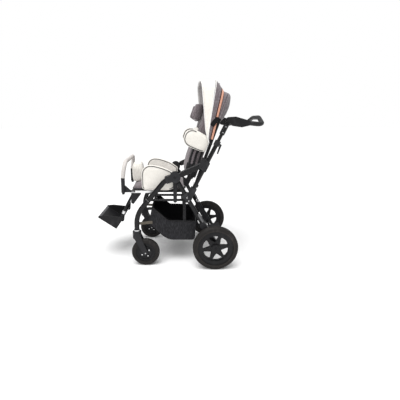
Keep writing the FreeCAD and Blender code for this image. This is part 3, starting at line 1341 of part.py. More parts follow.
def canopy_front():
    """The cream panel: an arch between two bows, cut to its outline in the side view."""
    sections = [bow_section(CANOPY_FRONT_ANGLE, CANOPY_TOP, CANOPY_FOOT),
                bow_section(CANOPY_SEAM_ANGLE, CANOPY_TOP, CANOPY_FOOT)]
    hood = Part.makeLoft(sections, True, True)
    panel = [CANOPY_PIVOT + V(x, 0, z) for x, z in CANOPY_PANEL]
    hood = hood.common(slab_of(panel, 0, 1, -FRAME_Y, FRAME_Y))
    pieces = [hood]
    wall_in = CANOPY_HALF - CANOPY_WALL
    for _, sign in SIDES:
        pieces.append(barrel(CANOPY_PIVOT, CANOPY_EYE, sign, wall_in, CANOPY_HALF))
    return fused(pieces).cut(across(CANOPY_PIVOT, CANOPY_PIN_RADIUS + PLAY, FRAME_Y))


def canopy_band():
    """The grey band behind the cream panel, lower towards the rear."""
    sections = [bow_section(BAND_FROM_ANGLE, CANOPY_TOP, BAND_FOOT),
                bow_section(BAND_TO_ANGLE, CANOPY_TOP - BAND_DROP, BAND_FOOT)]
    band = Part.makeLoft(sections, True, True)
    return band.cut(across(canopy_stud(), CANOPY_PIN_RADIUS, FRAME_Y))


def build():
    os.makedirs("parts", exist_ok=True)
    for name, s in SIDES:
        keep(f"front_leg_{name}", front_leg(s, 0).cut(front_leg(s, TUBE_WALL)))
        keep(f"rear_leg_{name}", rear_leg(s))
        keep(f"push_tube_{name}", push_tube(s))
        keep(f"clamp_lever_{name}", clamp_lever(s))
        keep(f"tilt_button_{name}", tilt_button(s))
        keep(f"caster_fork_{name}", caster_fork(s))
        keep(f"front_rim_{name}", front_rim(s))
        keep(f"front_tyre_{name}", tyre(CASTER_AXLE, FRAME_Y, FRONT_WHEEL_RADIUS, FRONT_RIM_RADIUS,
                                        FRONT_WHEEL_WIDTH, FRONT_TYRE_SHOULDER, s))
        keep(f"rear_rim_{name}", rear_rim(s), brake_drum(s))
        keep(f"rear_tyre_{name}", tyre(AXLE, REAR_WHEEL_Y, REAR_WHEEL_RADIUS, REAR_RIM_RADIUS,
                                       REAR_WHEEL_WIDTH, TYRE_SHOULDER, s))
        keep(f"thigh_guard_{name}", thigh_guard(s))
        keep(f"trunk_pad_{name}", trunk_pad(s))
    pairs = (
        ("fold_hubs", fold_hub), ("caster_collars", caster_collar), ("leg_connectors", leg_connector),
        ("axle_housings", axle_housing), ("leg_stays", leg_stay), ("side_links", side_link),
        ("tube_brackets", tube_bracket), ("tube_feet", tube_foot), ("height_clamps", height_clamp),
        ("handle_stems", handle_stem), ("handle_housings", handle_housing), ("seat_side_rails", seat_side_rail),
        ("seat_front_rails", seat_front_rail), ("bumper_tips", bumper_tip), ("bumper_sockets", bumper_socket),
        ("legrest_brackets", legrest_bracket), ("legrest_clamps", legrest_clamp),
    )
    for name, make in pairs:
        keep(name, make(-1), make(1))
    keep("rear_axle", rear_axle())
    keep("brake_bar", brake_bar())
    keep("handle_bar", handle_bar(BAR_RADIUS))
    keep("seat_base_frame", seat_base_frame())
    keep("seat_board", seat_board())
    keep("seat_cushion", seat_cushion())
    keep("pommel_pad", pommel_pad())
    keep("pommel_stem", pommel_stem())
    keep("bumper_bar", bumper_bar())
    keep("legrest_struts", legrest_struts())
    keep("footplate", footplate())
    keep("basket", basket())
    straps = [front_strap(s, STRAP_HIGH, STRAP_HIGH_LEG, STRAP_CLOTH) for _, s in SIDES]
    straps += [front_strap(s, STRAP_LOW, STRAP_LOW_LEG, STRAP_CLOTH) for _, s in SIDES]
    keep("basket_straps", *straps, rear_strap(-1), rear_strap(1))
    keep("back_frame", back_frame())
    keep("back_pad", back_pad())
    keep("back_flap", back_flap())
    keep("headrest", headrest())
    keep("canopy_front", canopy_front())
    keep("canopy_band", canopy_band())
    whole = BOXES[0]
    for box in BOXES[1:]:
        whole.add(box)
    print(f"box x {whole.XMin:.1f} {whole.XMax:.1f} y {whole.YMin:.1f} {whole.YMax:.1f}")
    print(f"box z {whole.ZMin:.1f} {whole.ZMax:.1f}")


build()
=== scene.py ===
import json
import math

import bmesh
import bpy
import numpy as np
from bpy.props import FloatProperty, FloatVectorProperty, IntProperty, PointerProperty
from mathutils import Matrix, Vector, noise
from mathutils.bvhtree import BVHTree
from mathutils.geometry import convex_hull_2d
from mathutils.kdtree import KDTree


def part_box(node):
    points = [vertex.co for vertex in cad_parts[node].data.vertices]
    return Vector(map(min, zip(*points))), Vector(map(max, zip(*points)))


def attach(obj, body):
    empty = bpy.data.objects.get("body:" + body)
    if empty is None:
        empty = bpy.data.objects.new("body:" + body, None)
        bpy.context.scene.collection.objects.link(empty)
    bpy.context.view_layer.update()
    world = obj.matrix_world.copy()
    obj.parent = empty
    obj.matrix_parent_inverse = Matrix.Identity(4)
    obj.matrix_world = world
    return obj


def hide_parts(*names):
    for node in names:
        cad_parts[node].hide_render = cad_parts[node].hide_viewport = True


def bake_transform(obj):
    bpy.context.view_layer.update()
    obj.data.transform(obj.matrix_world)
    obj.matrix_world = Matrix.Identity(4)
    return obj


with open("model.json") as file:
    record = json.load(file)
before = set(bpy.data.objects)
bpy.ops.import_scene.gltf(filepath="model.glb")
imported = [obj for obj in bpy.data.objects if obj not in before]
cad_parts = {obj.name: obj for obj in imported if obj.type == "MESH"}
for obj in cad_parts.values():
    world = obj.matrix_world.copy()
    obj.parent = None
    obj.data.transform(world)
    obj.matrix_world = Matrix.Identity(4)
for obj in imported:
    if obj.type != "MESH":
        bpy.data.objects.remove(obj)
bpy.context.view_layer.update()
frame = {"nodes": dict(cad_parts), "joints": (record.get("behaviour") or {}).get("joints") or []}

bl_info = {
    "name": "Adaptive Stroller Dressing",
    "version": (1, 0, 0),
    "blender": (4, 5, 0),
    "location": "View3D > Sidebar > Stroller",
    "description": "Dresses the stroller's frame with pads, canopy, basket, trim and finishes",
    "category": "Object",
}

# Places taken from the frame, in metres
MM = 0.001
NODES = frame["nodes"]
JOINTS = {joint["name"]: joint for joint in frame["joints"]}
SIDES = (("left", -1), ("right", 1))
X = Vector((1, 0, 0))
Y = Vector((0, 1, 0))
Z = Vector((0, 0, 1))
AXLE = sum(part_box("rear_axle"), Vector()) / 2
HINGE = Vector(JOINTS["recline"]["pos_m"])
BACK_DIR = Vector(JOINTS["head_height"]["axis"])
BACK_FWD = Vector((-BACK_DIR.z, 0, BACK_DIR.x))
CANOPY_PIVOT = Vector(JOINTS["canopy_open"]["pos_m"])
PUSH_DIR = Vector(JOINTS["handle_height"]["axis"])
PUSH_AFT = Vector((PUSH_DIR.z, 0, -PUSH_DIR.x))
KNUCKLE = Vector(JOINTS["handle_tilt"]["pos_m"])
HUB = Vector(JOINTS["frame_fold"]["pos_m"])
SWEEP_FRAMES = 20
THREAD = 0.5


def place(x, y, z):
    """A point given in millimetres: behind the rear axle, sideways and above the floor."""
    return Vector((AXLE.x + x * MM, y * MM, z * MM))


def on_back(along, forward, y):
    """A point given in millimetres: up the back tubes, forward from them and sideways."""
    return HINGE + BACK_DIR * (along * MM) + BACK_FWD * (forward * MM) + Y * (y * MM)


def on_hood(angle, reach, y):
    """A point given round the canopy's pivot: an angle, a reach and sideways, both in millimetres."""
    turn = math.radians(angle)
    return CANOPY_PIVOT + X * (math.cos(turn) * reach * MM) + Z * (math.sin(turn) * reach * MM) + Y * (y * MM)


# Sizes and colours that a user would change

class StrollerSizes(bpy.types.PropertyGroup):
    """Sizes of the sewn and fastened trim."""
    piping: FloatProperty(name="Piping", description="Radius of the piping on the pads",
                          default=0.0026, unit="LENGTH")
    edging: FloatProperty(name="Edging", description="Radius of the canopy's edging",
                          default=0.0028, unit="LENGTH")
    cloth: FloatProperty(name="Cloth", description="Thickness of the canopy cloth",
                         default=0.002, unit="LENGTH")
    stitch: FloatProperty(name="Stitch", description="Length of one stitch", default=0.0045, unit="LENGTH")
    stitch_pitch: FloatProperty(name="Stitch pitch", description="From stitch to stitch",
                                default=0.008, unit="LENGTH")
    webbing: FloatProperty(name="Webbing", description="Width of the basket straps",
                           default=0.02, unit="LENGTH")
    swell: FloatProperty(name="Swell", description="Furthest that a pad may puff out",
                         default=0.005, unit="LENGTH")
    pressure: FloatProperty(name="Pressure", description="Air pressure while the pads puff", default=4.0)
    pleats: IntProperty(name="Pleats", description="Pleats of the canopy's folded cloth", default=6)


class StrollerColours(bpy.types.PropertyGroup):
    """Colours of the cloths, plastics and metals."""
    cream: FloatVectorProperty(name="Cream", description="Side panels and canopy", subtype="COLOR", size=3,
                               default=(0.83, 0.8, 0.745))
    cream_fleck: FloatVectorProperty(name="Cream fleck", description="Darker yarn in the cream",
                                     subtype="COLOR", size=3, default=(0.66, 0.62, 0.56))
    mauve: FloatVectorProperty(name="Mauve grey", description="Seat, back and hood cloth", subtype="COLOR",
                               size=3,
                               default=(0.125, 0.104, 0.11))
    mauve_fleck: FloatVectorProperty(name="Mauve fleck", description="Lighter yarn in the mauve",
                                     subtype="COLOR", size=3, default=(0.25, 0.22, 0.235))
    lining: FloatVectorProperty(name="Lining", description="Inside of the canopy", subtype="COLOR", size=3,
                                default=(0.4, 0.385, 0.38))
    copper: FloatVectorProperty(name="Copper", description="Trim strips of the hood", subtype="COLOR", size=3,
                                default=(0.6, 0.3, 0.21))
    brown: FloatVectorProperty(name="Brown", description="Dark edge beside the copper", subtype="COLOR",
                               size=3,
                               default=(0.045, 0.014, 0.011))
    piping: FloatVectorProperty(name="Piping", description="Piping of the cream pads", subtype="COLOR",
                                size=3,
                                default=(0.05, 0.05, 0.052))
    basket: FloatVectorProperty(name="Basket", description="Basket cloth", subtype="COLOR", size=3,
                                default=(0.013, 0.013, 0.015))
    paint: FloatVectorProperty(name="Paint", description="Gloss paint of the tubes", subtype="COLOR", size=3,
                               default=(0.006, 0.006, 0.007))
    plastic: FloatVectorProperty(name="Plastic", description="Grey moulded fittings", subtype="COLOR", size=3,
                                 default=(0.02, 0.02, 0.022))
    foam: FloatVectorProperty(name="Foam", description="Sleeve of the bumper bar", subtype="COLOR", size=3,
                              default=(0.56, 0.53, 0.51))


class StrollerStage(bpy.types.PropertyGroup):
    """Camera, light and floor."""
    eye: FloatVectorProperty(name="Eye", description="Place of the camera", subtype="TRANSLATION", size=3,
                             default=(0.0042, -1.967, 0.984))
    pitch: FloatProperty(name="Pitch", description="Camera tilt below level", subtype="ANGLE",
                         default=math.radians(11.2))
    yaw: FloatProperty(name="Yaw", description="Camera turn to the rear", subtype="ANGLE",
                       default=math.radians(0.34))
    lens: FloatProperty(name="Lens", description="Focal length on a 36 mm frame", default=24.435)
    shift_x: FloatProperty(name="Shift right", description="Camera shift", default=0.05)
    shift_y: FloatProperty(name="Shift up", description="Camera shift", default=-0.065)
    floor: FloatVectorProperty(name="Floor", description="Floor colour", subtype="COLOR", size=3,
                               default=(0.9, 0.9, 0.9))
    sky: FloatProperty(name="Sky", description="Strength of the surrounding light", default=0.52)
    sun: FloatProperty(name="Sun", description="Strength of the broad light from above", default=2.4)
    sun_size: FloatProperty(name="Sun size", description="Width of the broad light", subtype="ANGLE",
                            default=math.radians(42))
    key: FloatProperty(name="Key", description="Power of the overhead light", subtype="POWER", default=30.0)
    fill: FloatProperty(name="Fill", description="Power of the light beside the camera", subtype="POWER",
                        default=14.0)


def sizes():
    return bpy.context.scene.stroller_sizes


def colours():
    return bpy.context.scene.stroller_colours


# Meshes

def link(obj):
    bpy.context.scene.collection.objects.link(obj)
    return obj


def piece(name, verts, faces, material):
    """A new smooth mesh piece with one material."""
    mesh = bpy.data.meshes.new(name)
    mesh.from_pydata([tuple(v) for v in verts], [], faces)
    mesh.materials.append(material)
    mesh.shade_smooth()
    return link(bpy.data.objects.new(name, mesh))


def coords(obj):
    co = np.empty(len(obj.data.vertices) * 3)
    obj.data.vertices.foreach_get("co", co)
    return co.reshape(-1, 3)


def normals(obj):
    no = np.empty(len(obj.data.vertices) * 3)
    obj.data.vertices.foreach_get("normal", no)
    return no.reshape(-1, 3)


def set_coords(obj, co):
    obj.data.vertices.foreach_set("co", co.ravel())
    obj.data.update()


def apply_modifiers(obj):
    """The object's modifiers, baked into its mesh."""
    graph = bpy.context.evaluated_depsgraph_get()
    mesh = bpy.data.meshes.new_from_object(obj.evaluated_get(graph))
    obj.modifiers.clear()
    old = obj.data
    obj.data = mesh
    mesh.name = obj.name
    bpy.data.meshes.remove(old)
    return obj


def outward(obj):
    """Doubles merged and every face turned outwards."""
    shape = bmesh.new()
    shape.from_mesh(obj.data)
    bmesh.ops.remove_doubles(shape, verts=shape.verts, dist=MM * 0.02)
    bmesh.ops.recalc_face_normals(shape, faces=shape.faces)
    shape.to_mesh(obj.data)
    shape.free()
    return obj


def refine(obj, level):
    smooth = obj.modifiers.new("refine", "SUBSURF")
    smooth.levels = level
    smooth.render_levels = level
    return apply_modifiers(obj)


def thicken(obj, thickness, offset=-1.0):
    wall = obj.modifiers.new("wall", "SOLIDIFY")
    wall.thickness = thickness
    wall.offset = offset
    wall.use_even_offset = True
    return apply_modifiers(obj)


def soften_edges(obj, width, segments=2):
    bevel = obj.modifiers.new("edge", "BEVEL")
    bevel.width = width
    bevel.segments = segments
    bevel.limit_method = "ANGLE"
    return apply_modifiers(obj)


def grid_faces(rows, columns, wrap=False):
    """Quads between rows of points; wrap joins the last column to the first."""
    faces = []
    for r in range(rows - 1):
        for c in range(columns if wrap else columns - 1):
            near, far = r * columns, (r + 1) * columns
            right = (c + 1) % columns
            faces.append((near + c, near + right, far + right, far + c))
    return faces


def sheet_piece(name, rows, material):
    """A sheet through rows of points."""
    return piece(name, [p for row in rows for p in row], grid_faces(len(rows), len(rows[0])), material)


def curve_mesh(name, points, radius, closed, resolution):
    curve = bpy.data.curves.new(name, "CURVE")
    curve.dimensions = "3D"
    curve.bevel_depth = radius
    curve.bevel_resolution = 2
    curve.resolution_u = resolution
    curve.use_fill_caps = True
    spline = curve.splines.new("NURBS")
    spline.points.add(len(points) - 1)
    for point, co in zip(spline.points, points):
        point.co = (*co, 1)
    spline.use_cyclic_u = closed
    spline.use_endpoint_u = not closed
    spline.order_u = 3
    holder = link(bpy.data.objects.new(name, curve))
    graph = bpy.context.evaluated_depsgraph_get()
    mesh = bpy.data.meshes.new_from_object(holder.evaluated_get(graph))
    bpy.data.objects.remove(holder)
    bpy.data.curves.remove(curve)
    return mesh


def tube(name, points, radius, material, closed=False, resolution=4):
    """A round cord, rod or piping along a smooth line."""
    mesh = curve_mesh(name, points, radius, closed, resolution)
    mesh.materials.clear()
    mesh.materials.append(material)
    mesh.shade_smooth()
    return outward(link(bpy.data.objects.new(name, mesh)))


def joined(name, objs):
    """Several finished pieces of one body as one piece that keeps their materials."""
    materials = []
    verts, faces, slots = [], [], []
    for obj in objs:
        start = len(verts)
        verts += [tuple(v.co) for v in obj.data.vertices]
        for face in obj.data.polygons:
            faces.append([start + i for i in face.vertices])
            material = obj.data.materials[face.material_index]
            if material not in materials:
                materials.append(material)
            slots.append(materials.index(material))
        mesh = obj.data
        bpy.data.objects.remove(obj)
        bpy.data.meshes.remove(mesh)
    whole = piece(name, verts, faces, materials[0])
    for material in materials[1:]:
        whole.data.materials.append(material)
    whole.data.polygons.foreach_set("material_index", slots)
    whole.data.set_sharp_from_angle(angle=math.radians(40))
    return whole


def lathe(name, profile, base, axis, material, steps=32):
    """A turned piece: a profile of (radius, height) in millimetres about an axis."""
    side = axis.orthogonal().normalized()
    other = axis.cross(side)
    rows = []
    for radius, height in profile:
        row = []
        for k in range(steps):
            turn = 2 * math.pi * k / steps
            ray = side * math.cos(turn) + other * math.sin(turn)
            row.append(base + axis * (height * MM) + ray * (radius * MM))
        rows.append(row)
    verts = [p for row in rows for p in row]
    faces = grid_faces(len(rows), steps, wrap=True)
    faces.append(list(range(steps))[::-1])
    faces.append([len(verts) - steps + k for k in range(steps)])
    obj = outward(piece(name, verts, faces, material))
    obj.data.set_sharp_from_angle(angle=math.radians(35))
    return obj


# Repeats made with Geometry Nodes

def new_tree(name, inputs):
    tree = bpy.data.node_groups.new(name, "GeometryNodeTree")
    tree.is_modifier = True
    tree.interface.new_socket("Geometry", in_out="INPUT", socket_type="NodeSocketGeometry")
    for label, kind in inputs:
        tree.interface.new_socket(label, in_out="INPUT", socket_type=kind)
    tree.interface.new_socket("Geometry", in_out="OUTPUT", socket_type="NodeSocketGeometry")
    return tree, tree.nodes.new("NodeGroupInput"), tree.nodes.new("NodeGroupOutput")


def end_tree(tree, start, end, instances):
    """Instances made real and given the tree's material."""
    real = tree.nodes.new("GeometryNodeRealizeInstances")
    finish = tree.nodes.new("GeometryNodeSetMaterial")
    tree.links.new(instances.outputs["Instances"], real.inputs["Geometry"])
    tree.links.new(real.outputs["Geometry"], finish.inputs["Geometry"])
    tree.links.new(start.outputs["Material"], finish.inputs["Material"])
    tree.links.new(finish.outputs["Geometry"], end.inputs["Geometry"])


def fastener_tree():
    """Heads set on points, each turned along the point's own aim."""
    inputs = (("Head", "NodeSocketObject"), ("Material", "NodeSocketMaterial"))
    tree, start, end = new_tree("Fasteners", inputs)
    head = tree.nodes.new("GeometryNodeObjectInfo")
    aim = tree.nodes.new("GeometryNodeInputNamedAttribute")
    aim.data_type = "FLOAT_VECTOR"
    aim.inputs["Name"].default_value = "aim"
    turn = tree.nodes.new("FunctionNodeAlignRotationToVector")
    turn.axis = "Z"
    put = tree.nodes.new("GeometryNodeInstanceOnPoints")
    tree.links.new(start.outputs["Head"], head.inputs["Object"])
    tree.links.new(aim.outputs["Attribute"], turn.inputs["Vector"])
    tree.links.new(start.outputs["Geometry"], put.inputs["Points"])
    tree.links.new(head.outputs["Geometry"], put.inputs["Instance"])
    tree.links.new(turn.outputs["Rotation"], put.inputs["Rotation"])
    end_tree(tree, start, end, put)
    return tree


def stitch_tree():
    """Short threads laid end to end along an edge run."""
    inputs = (("Pitch", "NodeSocketFloat"), ("Length", "NodeSocketFloat"), ("Radius", "NodeSocketFloat"),
              ("Material", "NodeSocketMaterial"))
    tree, start, end = new_tree("Stitches", inputs)
    run = tree.nodes.new("GeometryNodeMeshToCurve")
    even = tree.nodes.new("GeometryNodeResampleCurve")
    even.mode = "LENGTH"
    thread = tree.nodes.new("GeometryNodeMeshCylinder")
    thread.inputs["Vertices"].default_value = 6
    along = tree.nodes.new("GeometryNodeInputTangent")
    turn = tree.nodes.new("FunctionNodeAlignRotationToVector")
    turn.axis = "Z"
    put = tree.nodes.new("GeometryNodeInstanceOnPoints")
    tree.links.new(start.outputs["Geometry"], run.inputs["Mesh"])
    tree.links.new(run.outputs["Curve"], even.inputs["Curve"])
    tree.links.new(start.outputs["Pitch"], even.inputs["Length"])
    tree.links.new(start.outputs["Radius"], thread.inputs["Radius"])
    tree.links.new(start.outputs["Length"], thread.inputs["Depth"])
    tree.links.new(along.outputs["Tangent"], turn.inputs["Vector"])
    tree.links.new(even.outputs["Curve"], put.inputs["Points"])
    tree.links.new(thread.outputs["Mesh"], put.inputs["Instance"])
    tree.links.new(turn.outputs["Rotation"], put.inputs["Rotation"])
    end_tree(tree, start, end, put)
    return tree


TREES = {}


def run_tree(obj, make, values):
    """Runs a node tree on an object with the given inputs and keeps the result as its mesh."""
    if make not in TREES:
        TREES[make] = make()
    tree = TREES[make]
    grow = obj.modifiers.new("grow", "NODES")
    grow.node_group = tree
    ids = {item.name: item.identifier for item in tree.interface.items_tree if item.in_out == "INPUT"}
    for label, value in values.items():
        grow[ids[label]] = value
    apply_modifiers(obj)
    obj.data.shade_smooth()
    obj.data.set_sharp_from_angle(angle=math.radians(40))
    return obj


def fasteners(name, spots, profile, material):
    """Turned heads on (point, outward direction) spots, as one piece."""
    head = lathe(name + "_head", profile, Vector(), Z, material, steps=20)
    points = piece(name, [point for point, _ in spots], [], material)
    aim = points.data.attributes.new("aim", "FLOAT_VECTOR", "POINT")
    aim.data.foreach_set("vector", [c for _, direction in spots for c in direction])
    run_tree(points, fastener_tree, {"Head": head, "Material": material})
    mesh = head.data
    bpy.data.objects.remove(head)
    bpy.data.meshes.remove(mesh)
    return points


def stitches(name, points, material, closed=False):
    """A row of stitches along points."""
    mesh = bpy.data.meshes.new(name)
    edges = [(i, i + 1) for i in range(len(points) - 1)]
    if closed:
        edges.append((len(points) - 1, 0))
    mesh.from_pydata([tuple(p) for p in points], edges, [])
    row = link(bpy.data.objects.new(name, mesh))
    size = sizes()
    values = {"Pitch": size.stitch_pitch, "Length": size.stitch, "Radius": THREAD * MM, "Material": material}
    return run_tree(row, stitch_tree, values)


# Finishes

def add_group(tree, group):
    node = tree.nodes.new("ShaderNodeGroup")
    node.node_tree = group
    return node


def new_group(name, inputs, outputs):
    group = bpy.data.node_groups.new(name, "ShaderNodeTree")
    for label, kind, value in inputs:
        socket = group.interface.new_socket(label, in_out="INPUT", socket_type=kind)
        if value is not None:
            socket.default_value = value
    for label, kind in outputs:
        group.interface.new_socket(label, in_out="OUTPUT", socket_type=kind)
    return group, group.nodes.new("NodeGroupInput"), group.nodes.new("NodeGroupOutput")


def math_node(tree, operation, a, b=None):
    node = tree.nodes.new("ShaderNodeMath")
    node.operation = operation
    for socket, value in zip(node.inputs, (a, b)):
        if value is None:
            continue
        if isinstance(value, (int, float)):
            socket.default_value = value
        else:
            tree.links.new(value, socket)
    return node.outputs[0]


def scaled(tree, vector, size):
    node = tree.nodes.new("ShaderNodeVectorMath")
    node.operation = "SCALE"
    tree.links.new(vector, node.inputs[0])
    if isinstance(size, (int, float)):
        node.inputs["Scale"].default_value = size
    else:
        tree.links.new(size, node.inputs["Scale"])
    return node.outputs[0]


def noise_node(tree, vector, size, detail):
    node = tree.nodes.new("ShaderNodeTexNoise")
    node.inputs["Detail"].default_value = detail
    tree.links.new(vector, node.inputs["Vector"])
    if isinstance(size, (int, float)):
        node.inputs["Scale"].default_value = size
    else:
        tree.links.new(size, node.inputs["Scale"])
    return node.outputs[0]


def ramp(tree, value, low, high, to_low=0.0, to_high=1.0):
    node = tree.nodes.new("ShaderNodeMapRange")
    tree.links.new(value, node.inputs["Value"])
    for label, number in (("From Min", low), ("From Max", high), ("To Min", to_low), ("To Max", to_high)):
        node.inputs[label].default_value = number
    return node.outputs[0]


def mixed(tree, share, a, b, blend="MIX"):
    node = tree.nodes.new("ShaderNodeMix")
    node.data_type = "RGBA"
    node.blend_type = blend
    for socket, value in ((node.inputs[0], share), (node.inputs[6], a), (node.inputs[7], b)):
        if isinstance(value, (int, float)):
            socket.default_value = value
        elif isinstance(value, bpy.types.NodeSocket):
            tree.links.new(value, socket)
        else:
            socket.default_value = (*value, 1)
    return node.outputs[2]


def weave_group():
    """Crossed threads with flecks of a second yarn, the same on cloth that faces any way; the valleys between
    the threads are darkened with painted shade.
    """
    group, start, end = new_group(
        "Weave",
        (("Vector", "NodeSocketVector", None), ("Threads", "NodeSocketFloat", 1200.0),
         ("Ground", "NodeSocketColor", None), ("Fleck", "NodeSocketColor", None),
         ("Flecks", "NodeSocketFloat", 0.5)),
        (("Colour", "NodeSocketColor"), ("Height", "NodeSocketFloat")),
    )
    split = group.nodes.new("ShaderNodeSeparateXYZ")
    group.links.new(scaled(group, start.outputs["Vector"], start.outputs["Threads"]), split.inputs[0])
    waves = [math_node(group, "SINE", split.outputs[i]) for i in range(3)]
    crossed = [math_node(group, "MULTIPLY", waves[i], waves[(i + 1) % 3]) for i in range(3)]
    total = math_node(group, "ADD", math_node(group, "ADD", crossed[0], crossed[1]), crossed[2])
    height = ramp(group, total, -1.5, 1.5)
    yarn_size = math_node(group, "MULTIPLY", start.outputs["Threads"], 0.22)
    stretch = group.nodes.new("ShaderNodeMapping")
    stretch.inputs["Scale"].default_value = (1, 1, 0.3)
    group.links.new(start.outputs["Vector"], stretch.inputs["Vector"])
    yarn = ramp(group, noise_node(group, stretch.outputs[0], yarn_size, 3), 0.42, 0.66)
    share = math_node(group, "MULTIPLY", yarn, start.outputs["Flecks"])
    ground = mixed(group, share, start.outputs["Ground"], start.outputs["Fleck"])
    cloudy = ramp(group, noise_node(group, start.outputs["Vector"], 7, 3), 0.3, 0.7, 0.93, 1.05)
    tone = group.nodes.new("ShaderNodeCombineColor")
    for i in range(3):
        group.links.new(cloudy, tone.inputs[i])
    shaded = mixed(group, 1.0, ground, tone.outputs[0], "MULTIPLY")
    # painted shade: the low parts of the weave are mixed up to 16 percent towards black
    valley_painted_shade = mixed(group, ramp(group, height, 0.0, 0.5, 0.16, 0.0), shaded, (0, 0, 0))
    group.links.new(valley_painted_shade, end.inputs["Colour"])
    group.links.new(height, end.inputs["Height"])
    return group


def grain_group():
    """The fine pebble of moulded plastic and rubber, and patches of wear."""
    group, start, end = new_group(
        "Grain",
        (("Vector", "NodeSocketVector", None), ("Size", "NodeSocketFloat", 900.0)),
        (("Height", "NodeSocketFloat"), ("Wear", "NodeSocketFloat")),
    )
    pebble = group.nodes.new("ShaderNodeTexVoronoi")
    group.links.new(start.outputs["Vector"], pebble.inputs["Vector"])
    group.links.new(start.outputs["Size"], pebble.inputs["Scale"])
    group.links.new(pebble.outputs["Distance"], end.inputs["Height"])
    streak = group.nodes.new("ShaderNodeMapping")
    streak.inputs["Scale"].default_value = (1, 1.6, 0.6)
    group.links.new(start.outputs["Vector"], streak.inputs["Vector"])
    wear = ramp(group, noise_node(group, streak.outputs[0], 30, 6), 0.52, 0.72)
    group.links.new(wear, end.inputs["Wear"])
    return group


GROUPS = {}


def group_of(make):
    if make not in GROUPS:
        GROUPS[make] = make()
    return GROUPS[make]


def blank(name, roughness, metallic=0.0):
    """A new material: its tree, its shader and Object coordinates."""
    made = bpy.data.materials.new(name)
    made.use_nodes = True
    tree = made.node_tree
    shader = tree.nodes["Principled BSDF"]
    shader.inputs["Roughness"].default_value = roughness
    shader.inputs["Metallic"].default_value = metallic
    where = tree.nodes.new("ShaderNodeTexCoord").outputs["Object"]
    return made, tree, shader, where


def bump(tree, shader, height, strength, distance):
    node = tree.nodes.new("ShaderNodeBump")
    node.inputs["Strength"].default_value = strength
    node.inputs["Distance"].default_value = distance
    tree.links.new(height, node.inputs["Height"])
    tree.links.new(node.outputs[0], shader.inputs["Normal"])


def cloth(name, ground, fleck, flecks, threads, depth, sheen=0.3):
    """Woven cloth."""
    made, tree, shader, where = blank(name, 0.92)
    weave = add_group(tree, group_of(weave_group))
    weave.inputs["Threads"].default_value = threads
    weave.inputs["Ground"].default_value = (*ground, 1)
    weave.inputs["Fleck"].default_value = (*fleck, 1)
    weave.inputs["Flecks"].default_value = flecks
    tree.links.new(where, weave.inputs["Vector"])
    tree.links.new(weave.outputs["Colour"], shader.inputs["Base Color"])
    shader.inputs["Sheen Weight"].default_value = sheen
    shader.inputs["Sheen Roughness"].default_value = 0.5
    shader.inputs["Specular IOR Level"].default_value = 0.2
    bump(tree, shader, weave.outputs["Height"], depth, 0.6 * MM)
    return made


def moulded(name, colour, roughness, size, depth, worn=1.5):
    """Moulded plastic, rubber or foam with a fine pebble and a little wear."""
    made, tree, shader, where = blank(name, roughness)
    grain = add_group(tree, group_of(grain_group))
    grain.inputs["Size"].default_value = size
    tree.links.new(where, grain.inputs["Vector"])
    pale = tuple(min(1.0, c * worn + 0.004) for c in colour)
    tree.links.new(mixed(tree, grain.outputs["Wear"], colour, pale), shader.inputs["Base Color"])
    rough = ramp(tree, grain.outputs["Wear"], 0, 1, roughness, min(1.0, roughness + 0.12))
    tree.links.new(rough, shader.inputs["Roughness"])
    shader.inputs["Specular IOR Level"].default_value = 0.16
    bump(tree, shader, grain.outputs["Height"], depth, 0.3 * MM)
    return made


def painted(name, colour, roughness, coat):
    """Gloss paint with faint orange peel under a clear coat."""
    made, tree, shader, where = blank(name, roughness)
    grain = add_group(tree, group_of(grain_group))
    grain.inputs["Size"].default_value = 260.0
    tree.links.new(where, grain.inputs["Vector"])
    dusty = tuple(c + 0.004 for c in colour)
    tree.links.new(mixed(tree, grain.outputs["Wear"], colour, dusty), shader.inputs["Base Color"])
    rough = ramp(tree, grain.outputs["Wear"], 0, 1, roughness, roughness + 0.1)
    tree.links.new(rough, shader.inputs["Roughness"])
    shader.inputs["Specular IOR Level"].default_value = 0.14
    shader.inputs["Coat Weight"].default_value = coat
    shader.inputs["Coat Roughness"].default_value = 0.06
    bump(tree, shader, grain.outputs["Height"], 0.03, 0.2 * MM)
    return made


def metal(name, colour, roughness):
    """Bare metal with fine drawn lines."""
    made, tree, shader, where = blank(name, roughness, 1.0)
    drawn = tree.nodes.new("ShaderNodeMapping")
    drawn.inputs["Scale"].default_value = (0.15, 1, 1)
    tree.links.new(where, drawn.inputs["Vector"])
    lines = noise_node(tree, drawn.outputs[0], 700, 2)
    dull = tuple(c * 0.8 for c in colour)
    tree.links.new(mixed(tree, ramp(tree, lines, 0.4, 0.7), colour, dull), shader.inputs["Base Color"])
    tree.links.new(ramp(tree, lines, 0.3, 0.7, roughness, roughness + 0.1), shader.inputs["Roughness"])
    return made


def lining_cloth(name, colour):
    """The canopy's lining: a small soft check."""
    made, tree, shader, where = blank(name, 0.85)
    check = tree.nodes.new("ShaderNodeTexChecker")
    check.inputs["Scale"].default_value = 170.0
    check.inputs["Color1"].default_value = (*colour, 1)
    check.inputs["Color2"].default_value = (*(min(1.0, c * 2.0) for c in colour), 1)
    tree.links.new(where, check.inputs["Vector"])
    weave = add_group(tree, group_of(weave_group))
    weave.inputs["Threads"].default_value = 1600.0
    weave.inputs["Ground"].default_value = (*colour, 1)
    weave.inputs["Fleck"].default_value = (*(min(1.0, c * 1.6) for c in colour), 1)
    tree.links.new(where, weave.inputs["Vector"])
    colour = mixed(tree, 0.45, weave.outputs["Colour"], check.outputs["Color"])
    tree.links.new(colour, shader.inputs["Base Color"])
    bump(tree, shader, weave.outputs["Height"], 0.3, 0.5 * MM)
    return made


FINISHES = {}


